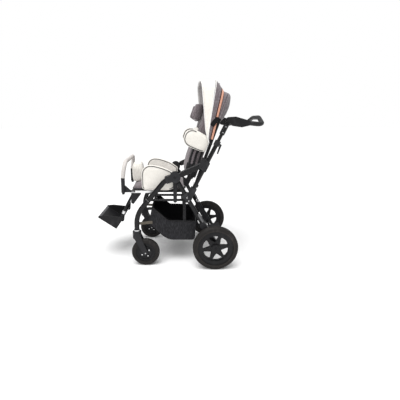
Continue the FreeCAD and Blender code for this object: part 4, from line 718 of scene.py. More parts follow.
def make_finishes():
    """Every material of the stroller, by name."""
    c = colours()
    FINISHES.update(
        cream=cloth("cream_cloth", c.cream, c.cream_fleck, 0.35, 1300, 0.35),
        boucle=cloth("cream_boucle", c.cream, (0.6, 0.57, 0.52), 0.6, 800, 0.7),
        mauve=cloth("mauve_cloth", c.mauve, c.mauve_fleck, 0.75, 1300, 0.45),
        lining=lining_cloth("lining_cloth", c.lining),
        basket=cloth("basket_tweed", c.basket, (0.05, 0.05, 0.055), 0.5, 900, 0.6, sheen=0.1),
        basket_inner=cloth("basket_inner", c.basket, (0.03, 0.03, 0.035), 0.3, 1500, 0.25, sheen=0.0),
        webbing=cloth("black_webbing", (0.014, 0.014, 0.015), (0.06, 0.06, 0.065), 0.4, 1700, 0.7, sheen=0.1),
        tan=cloth("tan_webbing", (0.1, 0.088, 0.07), (0.27, 0.24, 0.195), 0.5, 1700, 0.6, sheen=0.1),
        copper=cloth("copper_ribbon", c.copper, (0.86, 0.5, 0.35), 0.4, 1900, 0.4, sheen=0.2),
        brown=cloth("brown_ribbon", c.brown, (0.12, 0.05, 0.04), 0.3, 1900, 0.4, sheen=0.1),
        piping=cloth("grey_piping", c.piping, (0.12, 0.12, 0.125), 0.4, 2200, 0.4, sheen=0.1),
        edging=cloth("white_edging", (0.86, 0.85, 0.83), (0.7, 0.69, 0.67), 0.3, 2200, 0.3),
        thread=cloth("pale_thread", (0.5, 0.48, 0.45), (0.6, 0.58, 0.55), 0.3, 4000, 0.3),
        dark_thread=cloth("dark_thread", (0.03, 0.03, 0.03), (0.06, 0.06, 0.06), 0.3, 4000, 0.3),
        paint=painted("gloss_black_paint", c.paint, 0.1, 0.2),
        satin=painted("satin_black_paint", (0.009, 0.009, 0.01), 0.3, 0.1),
        plastic=moulded("grey_plastic", c.plastic, 0.46, 1100, 0.12),
        black=moulded("black_plastic", (0.012, 0.012, 0.013), 0.4, 1100, 0.12),
        rim=moulded("rim_plastic", (0.01, 0.01, 0.011), 0.34, 900, 0.08),
        rubber=moulded("tyre_rubber", (0.016, 0.0145, 0.014), 0.62, 800, 0.25, worn=1.9),
        bead=moulded("tyre_bead", (0.04, 0.033, 0.03), 0.5, 800, 0.2),
        foam=moulded("pale_foam", c.foam, 0.8, 1500, 0.3, worn=0.93),
        grip=moulded("grip_foam", (0.02, 0.02, 0.021), 0.42, 1500, 0.2),
        # painted highlight: the lip's pale grey stands in for light caught on the front edge of the black
        # footplate
        lip=moulded("lip_plastic", (0.1, 0.1, 0.105), 0.38, 1100, 0.1),
        board=moulded("board_plastic", (0.014, 0.014, 0.015), 0.5, 600, 0.15),
        chrome=metal("bright_metal", (0.78, 0.78, 0.79), 0.14),
        silver=metal("silver_rail", (0.84, 0.84, 0.84), 0.26),
        steel=metal("steel_screws", (0.55, 0.55, 0.56), 0.25),
        stay=metal("dark_stay", (0.16, 0.16, 0.165), 0.3),
    )


NODE_FINISH = {
    "paint": ("front_leg_left", "front_leg_right", "rear_leg_left", "rear_leg_right", "push_tube_left",
              "push_tube_right", "side_links", "seat_base_frame", "seat_side_rails", "back_frame",
              "rear_axle"),
    "satin": ("handle_stems", "legrest_struts", "bumper_tips", "pommel_stem"),
    "plastic": ("fold_hubs", "leg_connectors", "axle_housings", "tube_brackets", "tube_feet", "height_clamps",
                "clamp_lever_left", "clamp_lever_right", "bumper_sockets", "legrest_brackets",
                "caster_fork_left", "caster_fork_right", "brake_bar"),
    "black": ("footplate", "handle_housings", "tilt_button_left", "tilt_button_right"),
    "rim": ("front_rim_left", "front_rim_right", "rear_rim_left", "rear_rim_right"),
    "rubber": ("front_tyre_left", "front_tyre_right", "rear_tyre_left", "rear_tyre_right"),
    "foam": ("bumper_bar",),
    "grip": ("handle_bar",),
    "board": ("seat_board",),
    "chrome": ("caster_collars", "legrest_clamps"),
    "stay": ("leg_stays",),
    "silver": ("seat_front_rails",),
}


# Soft pieces

def pad_from(node, name, finish, voxel, rounds, shrink):
    """A soft copy of a plain solid: evenly meshed, its edges rounded, a little smaller all round."""
    mesh = NODES[node].data.copy()
    mesh.name = name
    mesh.materials.clear()
    obj = outward(link(bpy.data.objects.new(name, mesh)))
    even = obj.modifiers.new("even", "REMESH")
    even.mode = "VOXEL"
    even.voxel_size = voxel
    soft = obj.modifiers.new("round", "SMOOTH")
    soft.factor = 0.5
    soft.iterations = rounds
    apply_modifiers(obj)
    obj.data.materials.append(FINISHES[finish])
    set_coords(obj, coords(obj) - normals(obj) * shrink)
    obj.data.shade_smooth()
    return obj


def swell(obj, held):
    """Puffs a pad with a short cloth run. Points near the held lines stay, and none moves past the cap."""
    before = coords(obj)
    pins = obj.vertex_groups.new(name="held")
    if held:
        near = nearness(obj, held, 9 * MM)
        for index in np.nonzero(near > 0.05)[0]:
            pins.add([int(index)], float(near[index]), "REPLACE")
    puff = obj.modifiers.new("puff", "CLOTH")
    puff.settings.use_pressure = True
    puff.settings.uniform_pressure_force = sizes().pressure
    puff.settings.effector_weights.gravity = 0
    puff.settings.quality = 4
    puff.settings.mass = 0.3
    puff.settings.vertex_group_mass = "held"
    puff.point_cache.frame_start = 1
    puff.point_cache.frame_end = SWEEP_FRAMES
    for step in range(1, SWEEP_FRAMES + 1):
        bpy.context.scene.frame_set(step)
    apply_modifiers(obj)
    bpy.context.scene.frame_set(1)
    obj.vertex_groups.clear()
    move = coords(obj) - before
    far = np.linalg.norm(move, axis=1, keepdims=True)
    cap = sizes().swell
    set_coords(obj, before + move * np.minimum(1, cap / np.maximum(far, 1e-9)))
    return obj


def dense(points, step, closed=False):
    """Points spaced evenly along a run of straight lines."""
    run = [Vector(p) for p in points] + ([Vector(points[0])] if closed else [])
    found = []
    for a, b in zip(run, run[1:]):
        count = max(1, round((b - a).length / step))
        found += [a.lerp(b, k / count) for k in range(count)]
    return found if closed else found + [run[-1]]


def nearness(obj, lines, width):
    """For each point of a piece, how near it is to the lines: 1 on them, nought far away."""
    points = [p for line in lines for p in dense(line, 3 * MM)]
    tree = KDTree(len(points))
    for index, point in enumerate(points):
        tree.insert(point, index)
    tree.balance()
    away = np.array([tree.find(v.co)[2] for v in obj.data.vertices])
    return np.exp(-(away / width) ** 2)


def press(obj, lines, depth, width):
    """Sewn lines pressed into a pad."""
    near = nearness(obj, lines, width)
    set_coords(obj, coords(obj) - normals(obj) * (near * depth)[:, None])


def rumple(obj, amount, size, seed):
    """Small uneven swells, as stuffing has."""
    shift = Vector((seed * 3.1, seed * 1.7, seed * 0.9))
    lift = np.array([noise.fractal(v.co / size + shift, 0.9, 2.0, 3) for v in obj.data.vertices])
    set_coords(obj, coords(obj) + normals(obj) * (lift * amount)[:, None])


def flatten(obj, point, normal):
    """Nothing of a pad past the plane that it lies on; normal points to the pad's side."""
    co = coords(obj)
    below = (co - np.array(point)) @ np.array(normal)
    co -= np.minimum(below, 0)[:, None] * np.array(normal)
    set_coords(obj, co)


def rim_loop(obj, u, v, w, level, inset, count):
    """Points round the edge of a pad's face seen along w, drawn in from its outline onto its surface."""
    co = coords(obj)
    flat = [(float(p @ np.array(u)), float(p @ np.array(v))) for p in co]
    hull = [Vector(flat[i]) for i in convex_hull_2d(flat)]
    lengths = [(b - a).length for a, b in zip(hull, hull[1:] + hull[:1])]
    step = sum(lengths) / count
    middle = sum(hull, Vector((0, 0))) / len(hull)
    loop = []
    walked = 0.0
    for a, b, length in zip(hull, hull[1:] + hull[:1], lengths):
        while len(loop) * step < walked + length and len(loop) < count:
            point = a.lerp(b, (len(loop) * step - walked) / length)
            loop.append(point)
        walked += length
    surface = BVHTree.FromObject(obj, bpy.context.evaluated_depsgraph_get())
    found = []
    for point in loop:
        point = point + (middle - point).normalized() * inset
        at = u * point.x + v * point.y + w * level
        hit, normal, _, _ = surface.find_nearest(at)
        found.append((hit, normal))
    return found


def lay_piping(name, loop, finish, wanted=None):
    """Piping along a loop, or along the one stretch of it whose points are wanted."""
    radius = sizes().piping
    points = [hit + normal * (radius * 0.5) for hit, normal in loop]
    if wanted:
        marks = [wanted(point) for point in points]
        first = next(k for k in range(len(points)) if marks[k] and not marks[k - 1])
        turned = points[first:] + points[:first]
        marks = marks[first:] + marks[:first]
        points = turned[:marks.index(False)]
    return tube(name, points, radius, FINISHES[finish], closed=not wanted, resolution=2)


def side_pad(node, name, body, u, v, wanted, voxel, seed):
    """A cream side pad with piping round both its faces, left and right of its boxing."""
    obj = pad_from(node, name, "cream", voxel, 10, 1.5 * MM)
    lo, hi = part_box(node)
    loops = []
    for w, level in ((-Y, -lo.y), (Y, hi.y)):
        loop = rim_loop(obj, u, v, w, level - 3 * MM, 7 * MM, 72)
        loops.append([hit for hit, _ in loop] + [loop[0][0]])
    swell(obj, loops)
    press(obj, loops, 2.2 * MM, 5 * MM)
    rumple(obj, 1.1 * MM, 0.05, seed)
    refine(obj, 1)
    trims = []
    for index, (w, level) in enumerate(((-Y, -lo.y), (Y, hi.y))):
        loop = rim_loop(obj, u, v, w, level - 3 * MM, 7 * MM, 72)
        trims.append(lay_piping(f"{name}_piping_{index}", loop, "piping", wanted))
    trim = joined(name + "_piping", trims)
    for part in (obj, trim):
        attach(part, body)
    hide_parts(node)
    return obj


class STROLLER_OT_frame(bpy.types.Operator):
    """Gives every rigid piece of the frame its finish"""
    bl_idname = "stroller.frame"
    bl_label = "Frame finishes"

    def execute(self, context):
        make_finishes()
        for finish, names in NODE_FINISH.items():
            for name in names:
                slots = NODES[name].data.materials
                slots.clear()
                slots.append(FINISHES[finish])
        return {"FINISHED"}


POMMEL_DROP = 20.0
POMMEL_FULL = 1.1
POMMEL_AHEAD = 1.0
POMMEL_DENT = (62.0, 27.0)
POMMEL_KNOB = ((5, -8), (5, 3), (9, 4), (10, 7), (10, 11), (8, 13), (3, 13.5))


class STROLLER_OT_seat(bpy.types.Operator):
    """The seat cushion with two sewn lines across it"""
    bl_idname = "stroller.seat"
    bl_label = "Seat cushion"

    def execute(self, context):
        lo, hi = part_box("seat_cushion")
        obj = pad_from("seat_cushion", "seat_cushion_cover", "mauve", 6 * MM, 8, 2 * MM)
        top = hi.z - 4 * MM
        lines = []
        for share in (0.36, 0.68):
            x = lo.x + (hi.x - lo.x) * share
            lines.append([(x, lo.y + 14 * MM, top), (x, hi.y - 14 * MM, top)])
        swell(obj, lines)
        press(obj, lines, 5 * MM, 8 * MM)
        rumple(obj, 1.5 * MM, 0.07, 1)
        self.dent(obj)
        flatten(obj, (0, 0, lo.z + 0.2 * MM), Z)
        refine(obj, 1)
        rim = rim_loop(obj, X, Y, Z, lo.z + 12 * MM, 0, 96)
        trim = lay_piping("seat_cushion_piping", rim, "piping")
        for part in (obj, trim):
            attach(part, "front_frame")
        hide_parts("seat_cushion")
        return {"FINISHED"}

    def dent(self, obj):
        """The hollow that the pommel presses into the front of the cushion."""
        lo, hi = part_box("pommel_pad")
        reach, floor = POMMEL_DENT
        co = coords(obj)
        away = np.hypot(co[:, 0] - (lo.x + hi.x) / 2, co[:, 1] - (lo.y + hi.y) / 2) / (reach * MM)
        ceiling = lo.z - floor * MM + 40 * MM * np.clip(away - 0.85, 0, None) ** 0.8
        co[:, 2] = np.minimum(co[:, 2], ceiling)
        set_coords(obj, co)


class STROLLER_OT_guards(bpy.types.Operator):
    """The two cream thigh guards with their dark piping"""
    bl_idname = "stroller.guards"
    bl_label = "Thigh guards"

    def execute(self, context):
        for index, (name, _) in enumerate(SIDES):
            node = f"thigh_guard_{name}"
            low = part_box(node)[0].z + 12 * MM
            side_pad(node, node + "_cover", "front_frame", X, Z, lambda p: p.z > low, 5 * MM, 2 + index)
        return {"FINISHED"}


class STROLLER_OT_trunk(bpy.types.Operator):
    """The two cream trunk pads with their dark piping"""
    bl_idname = "stroller.trunk"
    bl_label = "Trunk pads"

    def piped(self, point):
        """Piping runs along the bottom and round the front of a trunk pad, and stops along its top."""
        along = (point - HINGE).dot(BACK_DIR) / MM
        forward = (point - HINGE).dot(BACK_FWD) / MM
        return forward > 30 and (along < 300 or forward > 110)

    def execute(self, context):
        for index, (name, _) in enumerate(SIDES):
            node = f"trunk_pad_{name}"
            body = f"trunk_support_{name}"
            side_pad(node, node + "_cover", body, BACK_DIR, BACK_FWD, self.piped, 5 * MM, 4 + index)
        return {"FINISHED"}


class STROLLER_OT_pommel(bpy.types.Operator):
    """The cream pommel between the thighs with its release knob"""
    bl_idname = "stroller.pommel"
    bl_label = "Pommel"

    def execute(self, context):
        lo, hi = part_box("pommel_pad")
        obj = pad_from("pommel_pad", "pommel_cover", "boucle", 5 * MM, 12, 1.5 * MM)
        swell(obj, [])
        co = coords(obj)
        share = np.clip((co[:, 2] - lo.z) / (hi.z - lo.z), 0, 1)
        co[:, 2] -= POMMEL_DROP * MM * (1 - share) ** 1.5
        middle = (lo.x + hi.x) / 2
        co[:, 0] = middle + (co[:, 0] - middle) * POMMEL_FULL - POMMEL_AHEAD * MM
        set_coords(obj, co)
        rumple(obj, 1.6 * MM, 0.04, 6)
        refine(obj, 1)
        seam_z = lo.z + (hi.z - lo.z) * 0.86
        seam = rim_loop(obj, X, Y, Z, seam_z, 4 * MM, 60)
        stitched = stitches("pommel_stitches", [hit + normal * (0.4 * MM) for hit, normal in seam],
                            FINISHES["thread"], closed=True)
        middle = (lo + hi) / 2
        base = Vector((lo.x - 1 * MM, middle.y, lo.z - 9 * MM))
        aim = Vector((-1, 0, -0.35)).normalized()
        knob = lathe("pommel_knob", POMMEL_KNOB, base, aim, FINISHES["black"])
        for part in (obj, stitched, knob):
            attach(part, "pommel")
        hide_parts("pommel_pad")
        return {"FINISHED"}


SHOULDER_HALF = 21.0
SHOULDER_GAP = 3.0


class STROLLER_OT_back(bpy.types.Operator):
    """The back cushion with its channels and side folds, and the cream pad at the shoulders"""
    bl_idname = "stroller.back"
    bl_label = "Back cushion"

    def execute(self, context):
        obj = pad_from("back_pad", "back_cushion_cover", "mauve", 7 * MM, 8, 2 * MM)
        lines = [[on_back(90, 108, y), on_back(400, 108, y)] for y in (-96, -32, 32, 96)]
        swell(obj, lines)
        press(obj, lines, 6 * MM, 9 * MM)
        self.fold_sides(obj)
        rumple(obj, 1.6 * MM, 0.08, 7)
        flatten(obj, on_back(0, 11.2, 0), BACK_FWD)
        refine(obj, 1)
        self.stripe_sides(obj)
        shoulder = self.shoulder_pad()
        for part in (obj, shoulder):
            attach(part, "backrest")
        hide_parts("back_pad")
        return {"FINISHED"}

    def fold_sides(self, obj):
        """Loose cloth gathered in upright folds along both sides of the lower back."""
        co = coords(obj)
        rel = co - np.array(HINGE)
        along = rel @ np.array(BACK_DIR) / MM
        forward = rel @ np.array(BACK_FWD) / MM
        side = np.clip((np.abs(co[:, 1]) / MM - 128) / 24, 0, 1)
        low = np.clip((330 - along) / 60, 0, 1)
        fold = np.sin(forward * 0.3 + np.sin(along * 0.021) * 1.1) * side * low * 3.4 * MM
        co[:, 1] += np.sign(co[:, 1]) * fold
        set_coords(obj, co)

    def stripe_sides(self, obj):
        """Black side panels on the lower back, crossed by upright mauve bands."""
        obj.data.materials.append(FINISHES["webbing"])
        for face in obj.data.polygons:
            away = face.center - HINGE
            along = away.dot(BACK_DIR) / MM
            forward = away.dot(BACK_FWD) / MM
            band = math.sin(forward * 0.2 + math.sin(along * 0.021) * 1.1)
            sideways = abs(face.normal.y) > 0.28 and abs(face.center.y) > 132 * MM
            if sideways and along < 318 and (band < 0.1 or along < 150):
                face.material_index = 1

    def shoulder_pad(self):
        """A slim cream cushion across the back, just below the lowest place of the head."""
        head = [(vertex.co - HINGE).dot(BACK_DIR) for vertex in NODES["headrest"].data.vertices]
        lowest = (min(head) + JOINTS["head_height"]["range_m"][0]) / MM
        middle = lowest - SHOULDER_HALF - SHOULDER_GAP
        rows = []
        for angle in np.linspace(0, 2 * math.pi, 20, endpoint=False):
            rows.append([])
            for share in np.linspace(-1, 1, 25):
                taper = max(0.05, 1 - abs(share) ** 6) ** 0.5
                along = middle + SHOULDER_HALF * math.sin(angle) * taper
                forward = 106 + 15 * math.cos(angle) * taper
                rows[-1].append(on_back(along, forward, share * 120))
        rows.append(rows[0])
        obj = sheet_piece("shoulder_pad_cover", rows, FINISHES["cream"])
        shape = bmesh.new()
        shape.from_mesh(obj.data)
        bmesh.ops.remove_doubles(shape, verts=shape.verts, dist=0.05 * MM)
        bmesh.ops.holes_fill(shape, edges=shape.edges, sides=0)
        bmesh.ops.recalc_face_normals(shape, faces=shape.faces)
        shape.to_mesh(obj.data)
        shape.free()
        obj.data.shade_smooth()
        rumple(obj, 1.2 * MM, 0.04, 8)
        return refine(obj, 1)


class STROLLER_OT_flap(bpy.types.Operator):
    """The full cloth flap behind the top of the back"""
    bl_idname = "stroller.flap"
    bl_label = "Rear flap"

    LOW = 486.0
    HIGH = 667.0
    HALF = 201.0
    BEND = 580.0
    EDGE = 17.0
    FRONT = 9.6
    FULL = 31.0

    def execute(self, context):
        rows = [self.ring(along) for along in np.linspace(self.LOW, self.HIGH, 31)]
        faces = grid_faces(len(rows), len(rows[0]), wrap=True)
        count = len(rows[0])
        faces += [list(range(count))[::-1], [(len(rows) - 1) * count + k for k in range(count)]]
        obj = outward(piece("back_flap_cover", [p for row in rows for p in row], faces, FINISHES["mauve"]))
        seam = [on_back(520, -44, y) for y in (-140, 0, 140)]
        press(obj, [seam], 3 * MM, 7 * MM)
        rumple(obj, 1.6 * MM, 0.07, 9)
        refine(obj, 1)
        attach(obj, "backrest")
        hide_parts("back_flap")
        return {"FINISHED"}

    def ring(self, along):
        """A level section of the flap, which is slipped over the bent top of the back tubes."""
        rise = max(0.0, along - self.BEND)
        corner = self.HIGH - self.BEND
        half = self.HALF - corner + math.sqrt(max(0.0, corner ** 2 - rise ** 2))
        closing = math.sqrt(max(0.02, 1 - (rise / corner) ** 10))
        lift = max(0.0, math.sin(math.pi * min(1.0, max(0.0, (along - 470) / 190)))) ** 0.6
        front, rear = [], []
        for turn in np.linspace(-90, 90, 49):
            share = math.sin(math.radians(turn))
            edge = math.sqrt(max(0.0, 1 - abs(share) ** 10)) * closing
            y = share * half
            full = max(0.0, 1 - (abs(y) / 165) ** 4) * lift
            ahead = self.EDGE if abs(y) > 168 else self.FRONT
            front.append(on_back(along, ahead * edge, y))
            rear.append(on_back(along, -self.EDGE * edge - self.FULL * full, y))
        return front + rear[::-1][1:-1]


class STROLLER_OT_head(bpy.types.Operator):
    """The head pad with its two wings"""
    bl_idname = "stroller.head"
    bl_label = "Headrest"

    def execute(self, context):
        obj = pad_from("headrest", "headrest_cover", "mauve", 5 * MM, 8, 1.5 * MM)
        lines = [[on_back(430, 140, y), on_back(545, 140, y)] for y in (-92, 92)]
        swell(obj, lines)
        press(obj, lines, 4 * MM, 7 * MM)
        rumple(obj, 1.2 * MM, 0.05, 10)
        refine(obj, 1)
        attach(obj, "head_support")
        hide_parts("headrest")
        return {"FINISHED"}


# Canopy

HOOD_HALF = 199.0
HOOD_TOP = 417.0
HOOD_SHOULDER = 60.0
HOOD_CROWN = 12.0
HOOD_FOOT = 17.0
HOOD_SEAM = 86.6
HOOD_FRONT = ((-10, -2), (-34, 89), (-68, 437))
BAND_FRONT = 85.4
BAND_REAR = 76.0
BAND_FOOT = 30.0
BAND_DROP = 62.0
SEAM_AHEAD = 26.0
SEAM_LEAST = 4.0
STRIP_ANGLE = 77.6
STRIP_HALF = 6.0
STRIP_BORDER = 3.0
GUSSET_DEPTH = 8.0
FOLD_FOOT = 112.0
ARCH_STEPS = 72


def arch(top, foot, inset):
    """The hood's arch as (sideways, reach) in millimetres, from foot to foot over the top."""
    half = HOOD_HALF - inset
    eaves = top - inset - HOOD_CROWN
    turn = HOOD_SHOULDER - inset
    points = [Vector((-half, foot)), Vector((-half, eaves - turn))]
    for k in range(1, 9):
        angle = math.pi - k * math.pi / 16
        points.append(Vector((-half + turn + turn * math.cos(angle), eaves - turn + turn * math.sin(angle))))
    for k in range(1, 9):
        share = k / 8
        y = (-half + turn) * (1 - share)
        points.append(Vector((y, eaves + HOOD_CROWN * math.sin(share * math.pi / 2))))
    points += [Vector((-p.x, p.y)) for p in reversed(points[:-1])]
    return resampled(points, ARCH_STEPS)


def resampled(points, count):
    """The same line, with evenly spaced points."""
    lengths = np.cumsum([0] + [(b - a).length for a, b in zip(points, points[1:])])
    found = []
    for at in np.linspace(0, lengths[-1], count + 1):
        index = min(int(np.searchsorted(lengths, at, side="right")) - 1, len(points) - 2)
        share = (at - lengths[index]) / (lengths[index + 1] - lengths[index])
        found.append(points[index].lerp(points[index + 1], share))
    return found


def front_angle(reach):
    """The angle of the cream panel's front edge at a reach from the pivot."""
    heights = [z for _, z in HOOD_FRONT]
    x = float(np.interp(reach, heights, [x for x, _ in HOOD_FRONT]))
    return math.degrees(math.acos(max(-1, min(1, x / reach))))


def seam_angle(angle, reach):
    """The angle of the seam at a reach, where the seam runs ahead of the pivot at its foot."""
    ahead = SEAM_AHEAD * max(0.0, 1 - reach / HOOD_TOP)
    return min(angle + math.degrees(math.atan2(ahead, reach)), front_angle(reach) - SEAM_LEAST)


def band_front(reach):
    """The angle of the band's front edge at a reach."""
    return seam_angle(BAND_FRONT, reach)


def beside(angle, ahead):
    """An edge that runs at a fixed distance ahead of a line from the pivot."""
    return lambda reach: angle + math.degrees(math.atan2(ahead, reach))


def hood_rows(inset, columns, start, finish, sag):
    """Rows of points of the cream panel, from its front edge to its seam."""
    rows = []
    for y, reach in arch(HOOD_TOP, HOOD_FOOT, inset):
        row = []
        front = front_angle(reach)
        for k in range(columns + 1):
            share = start + (finish - start) * k / columns
            angle = front + (seam_angle(HOOD_SEAM, reach) - front) * share
            hollow = 1 - sag * math.sin(math.pi * share) * min(1.0, reach / HOOD_TOP)
            row.append(on_hood(angle, reach * hollow, y))
        rows.append(row)
    return rows


def band_rows(inset, columns, front, rear, lift=0.0):
    """Rows of points of the grey band between two edges, lower towards the rear."""
    rows = [[] for _ in range(ARCH_STEPS + 1)]
    for k in range(columns + 1):
        share = k / columns
        top_reach = HOOD_TOP - BAND_DROP / 2
        angle = front(top_reach) + (rear(top_reach) - front(top_reach)) * share
        drop = BAND_DROP * (BAND_FRONT - angle) / (BAND_FRONT - BAND_REAR)
        for row, (y, reach) in zip(rows, arch(HOOD_TOP - drop, BAND_FOOT, inset - lift)):
            row.append(on_hood(front(reach) + (rear(reach) - front(reach)) * share, reach, y))
    return rows


def gusset(rows, columns):
    """The rows of the band carried on from its rear edge to the rim of the flap behind it."""
    for row in rows:
        edge = row[-1]
        away = (edge - HINGE).dot(BACK_FWD) - GUSSET_DEPTH * MM
        foot = edge - BACK_FWD * max(0.0, away)
        row += [edge.lerp(foot, k / columns) for k in range(1, columns + 1)]
    return rows


class STROLLER_OT_canopy(bpy.types.Operator):
    """The cream hood with white edging and lining, its folded cloth, and the grey band with copper strips"""
    bl_idname = "stroller.canopy"
    bl_label = "Canopy"

    def execute(self, context):
        self.hood()
        self.folded_cloth()
        self.band()
        return {"FINISHED"}

    def hood(self):
        thick = sizes().cloth
        rows = hood_rows(0.6, 10, 0, 1, 0.008)
        panel = outward(sheet_piece("canopy_panel", rows, FINISHES["cream"]))
        self.face_out(panel)
        thicken(panel, thick)
        lining = sheet_piece("canopy_lining", hood_rows(3.2, 10, 0.03, 0.97, 0.008), FINISHES["lining"])
        self.face_out(lining)
        thicken(lining, thick * 0.3)
        edges = []
        for k in (0, -1):
            edges.append(tube(f"edge_{k}", [row[k] for row in rows], sizes().edging, FINISHES["edging"]))
        trim = joined("canopy_edging", edges)
        seam = [row[1].lerp(row[0], 0.2) for row in hood_rows(-0.3, 10, 0, 1, 0.008)]
        sewn = stitches("canopy_stitches", seam, FINISHES["thread"])
        for part in (panel, lining, trim, sewn):
            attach(part, "canopy")
        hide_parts("canopy_front")

    def face_out(self, sheet):
        """Faces turned away from the pivot."""
        face = max(sheet.data.polygons, key=lambda f: f.center.z)
        if face.normal.z < 0:
            sheet.data.flip_normals()

    def flat_size(self, rows):
        middle = len(rows[0]) // 2
        long = sum((b[middle] - a[middle]).length for a, b in zip(rows, rows[1:]))
        wide = max(sum((b - a).length for a, b in zip(row, row[1:])) for row in rows)
        return (wide * 1.02, long * 1.02)

    def folded_cloth(self):
        """The pleated cloth that opens between the band and the cream panel."""
        pleats = sizes().pleats
        rows = []
        for y, reach in arch(HOOD_TOP - 8, FOLD_FOOT, 8):
            row = []
            for k in range(4 * pleats + 1):
                share = k / (4 * pleats)
                angle = BAND_FRONT - 3.2 + 6.0 * share
                depth = 4.5 * (1 - math.cos(2 * math.pi * pleats * share))
                squeeze = depth / HOOD_TOP
                row.append(on_hood(angle, reach * (1 - squeeze), y * (1 - 0.4 * squeeze)))
            rows.append(row)
        fold = sheet_piece("canopy_folds", rows, FINISHES["mauve"])
        self.face_out(fold)
        thicken(fold, 0.8 * MM)
        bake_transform(fold)

    def band(self):
        reach = STRIP_HALF + STRIP_BORDER
        rows = gusset(band_rows(0.6, 8, band_front, beside(STRIP_ANGLE, -reach)), 4)
        band = sheet_piece("canopy_band_cloth", rows, FINISHES["mauve"])
        self.face_out(band)
        thicken(band, sizes().cloth)
        trims = []
        for name, finish, ahead, behind, lift in (
            ("copper", "copper", STRIP_HALF, -STRIP_HALF, 1.6),
            ("brown_front", "brown", reach + STRIP_BORDER, STRIP_HALF, 1.0),
            ("brown_rear", "brown", -STRIP_HALF, -reach, 1.0),
        ):
            strip_rows = band_rows(0.6, 3, beside(STRIP_ANGLE, ahead), beside(STRIP_ANGLE, behind), lift)
            strip = sheet_piece(f"band_{name}", strip_rows, FINISHES[finish])
            self.face_out(strip)
            trims.append(thicken(strip, 1.4 * MM))
        edge = tube("band_edge", [row[0] for row in rows], sizes().edging * 0.8, FINISHES["edging"])
        trims.append(edge)
        trim = joined("canopy_trim", trims)
        for part in (band, trim):
            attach(part, "backrest")
        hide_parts("canopy_band")


# Basket

BASKET_HALF = 194.0
BASKET_RUN = ((-427, 403), (-450, 294), (-354, 191), (-306, 164.5), (-132, 164.5), (-124, 300))
BASKET_LIP_CUT = (-318, 305)
BASKET_CLOTH = 2.4


def smooth_line(points, count, rounding):
    """An evenly spaced line through points whose corners are eased."""
    line = resampled([Vector(p) for p in points], count)
    for _ in range(rounding):
        line = [line[0]] + [(a + 2 * b + c) / 4 for a, b, c in zip(line, line[1:], line[2:])] + [line[-1]]
    return line


class STROLLER_OT_basket(bpy.types.Operator):
    """The cloth basket with its hem, and the straps that hang it"""
    bl_idname = "stroller.basket"
    bl_label = "Basket"

    def execute(self, context):
        run = smooth_line(BASKET_RUN, 60, 3)
        cloth_rows = self.trough(run)
        bag = sheet_piece("basket_cloth", cloth_rows, FINISHES["basket"])
        walls = [self.wall(run, sign) for _, sign in SIDES]
        whole = joined("basket_bag", [bag] + walls)
        outward(whole)
        wall = whole.modifiers.new("wall", "SOLIDIFY")
        wall.thickness = BASKET_CLOTH * MM
        wall.offset = -1
        wall.use_even_offset = True
        whole.data.materials.append(FINISHES["basket_inner"])
        wall.material_offset = 1
        wall.material_offset_rim = 0
        apply_modifiers(whole)
        hem = self.hem(run)
        for part in (whole, hem):
            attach(part, "front_frame")
        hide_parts("basket")
        self.straps()
        return {"FINISHED"}

    def trough(self, run):
        """Front, floor and rear in one length, sagging a little between its sides."""
        rows = []
        for index, point in enumerate(run):
            row = []
            ahead = run[min(index + 1, len(run) - 1)] - run[max(index - 1, 0)]
            inward = Vector((-ahead.y, ahead.x)).normalized()
            for k in range(33):
                share = -1 + 2 * k / 32
                sag = 2.5 * math.cos(share * math.pi / 2) * math.sin(math.pi * index / (len(run) - 1))
                at = point - inward * sag * 0.4
                row.append(place(at.x, share * BASKET_HALF, at.y))
            rows.append(row)
        return rows

    def wall(self, run, sign):
        """One low side, bellied outwards between its hem and the floor."""
        rows = []
        top = self.top_edge(len(run))
        for low, high in zip(run, top):
            row = []
            for k in range(13):
                share = k / 12
                at = low.lerp(high, share)
                belly = 0.6 * math.sin(math.pi * share)
                row.append(place(at.x, sign * (BASKET_HALF + belly), at.y))
            rows.append(row)
        return sheet_piece(f"basket_wall_{sign}", rows, FINISHES["basket"])

    def top_edge(self, count):
        """The hem of a side wall, from the front lip down to the low side and back to the rear."""
        line = smooth_line((BASKET_RUN[0], BASKET_LIP_CUT, BASKET_RUN[-1]), count - 1, 4)
        return line

    def hem(self, run):
        """Binding sewn over the upper edge all round."""
        top = self.top_edge(len(run))
        left = [place(p.x, -BASKET_HALF, p.y) for p in top]
        right = [place(p.x, BASKET_HALF, p.y) for p in reversed(top)]
        return tube("basket_hem", left + right, 3.2 * MM, FINISHES["webbing"], closed=True, resolution=2)

    def straps(self):
        """Webbing from the basket to the front legs and the lower bars."""
        made = []
        for index, solid in enumerate(self.strap_lines()):
            finish, line, across = solid
            made.append(self.strap(f"strap_{index}", line, across, finish))
        straps = joined("basket_webbing", made)
        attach(straps, "front_frame")
        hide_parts("basket_straps")

    def strap_lines(self):
        lines = []
        for _, sign in SIDES:
            for finish, height, leg, cloth_x in (("webbing", 394, -496, -446), ("tan", 294, -524, -446)):
                line = [place(leg, sign * 215.7, height), place((leg + cloth_x) / 2, sign * 206, height - 1.5),
                        place(cloth_x, sign * 196.8, height),
                        place(cloth_x + 20, sign * 196.4, height)]
                lines.append((finish, line, Z))
            line = [place(-205, sign * 189.2, 282)]
            line += [place(-205, sign * 188.9, z) for z in (340, 400, 457)]
            lines.append(("webbing", line, X))
        return lines

    def strap(self, name, line, across, finish):
        width = sizes().webbing
        rows = []
        for point in dense(line, 6 * MM):
            rows.append([point + across * (width * share) for share in (-0.5, -0.25, 0, 0.25, 0.5)])
        return thicken(sheet_piece(name, rows, FINISHES[finish]), 1.6 * MM, 0.0)


# Wheels and fittings

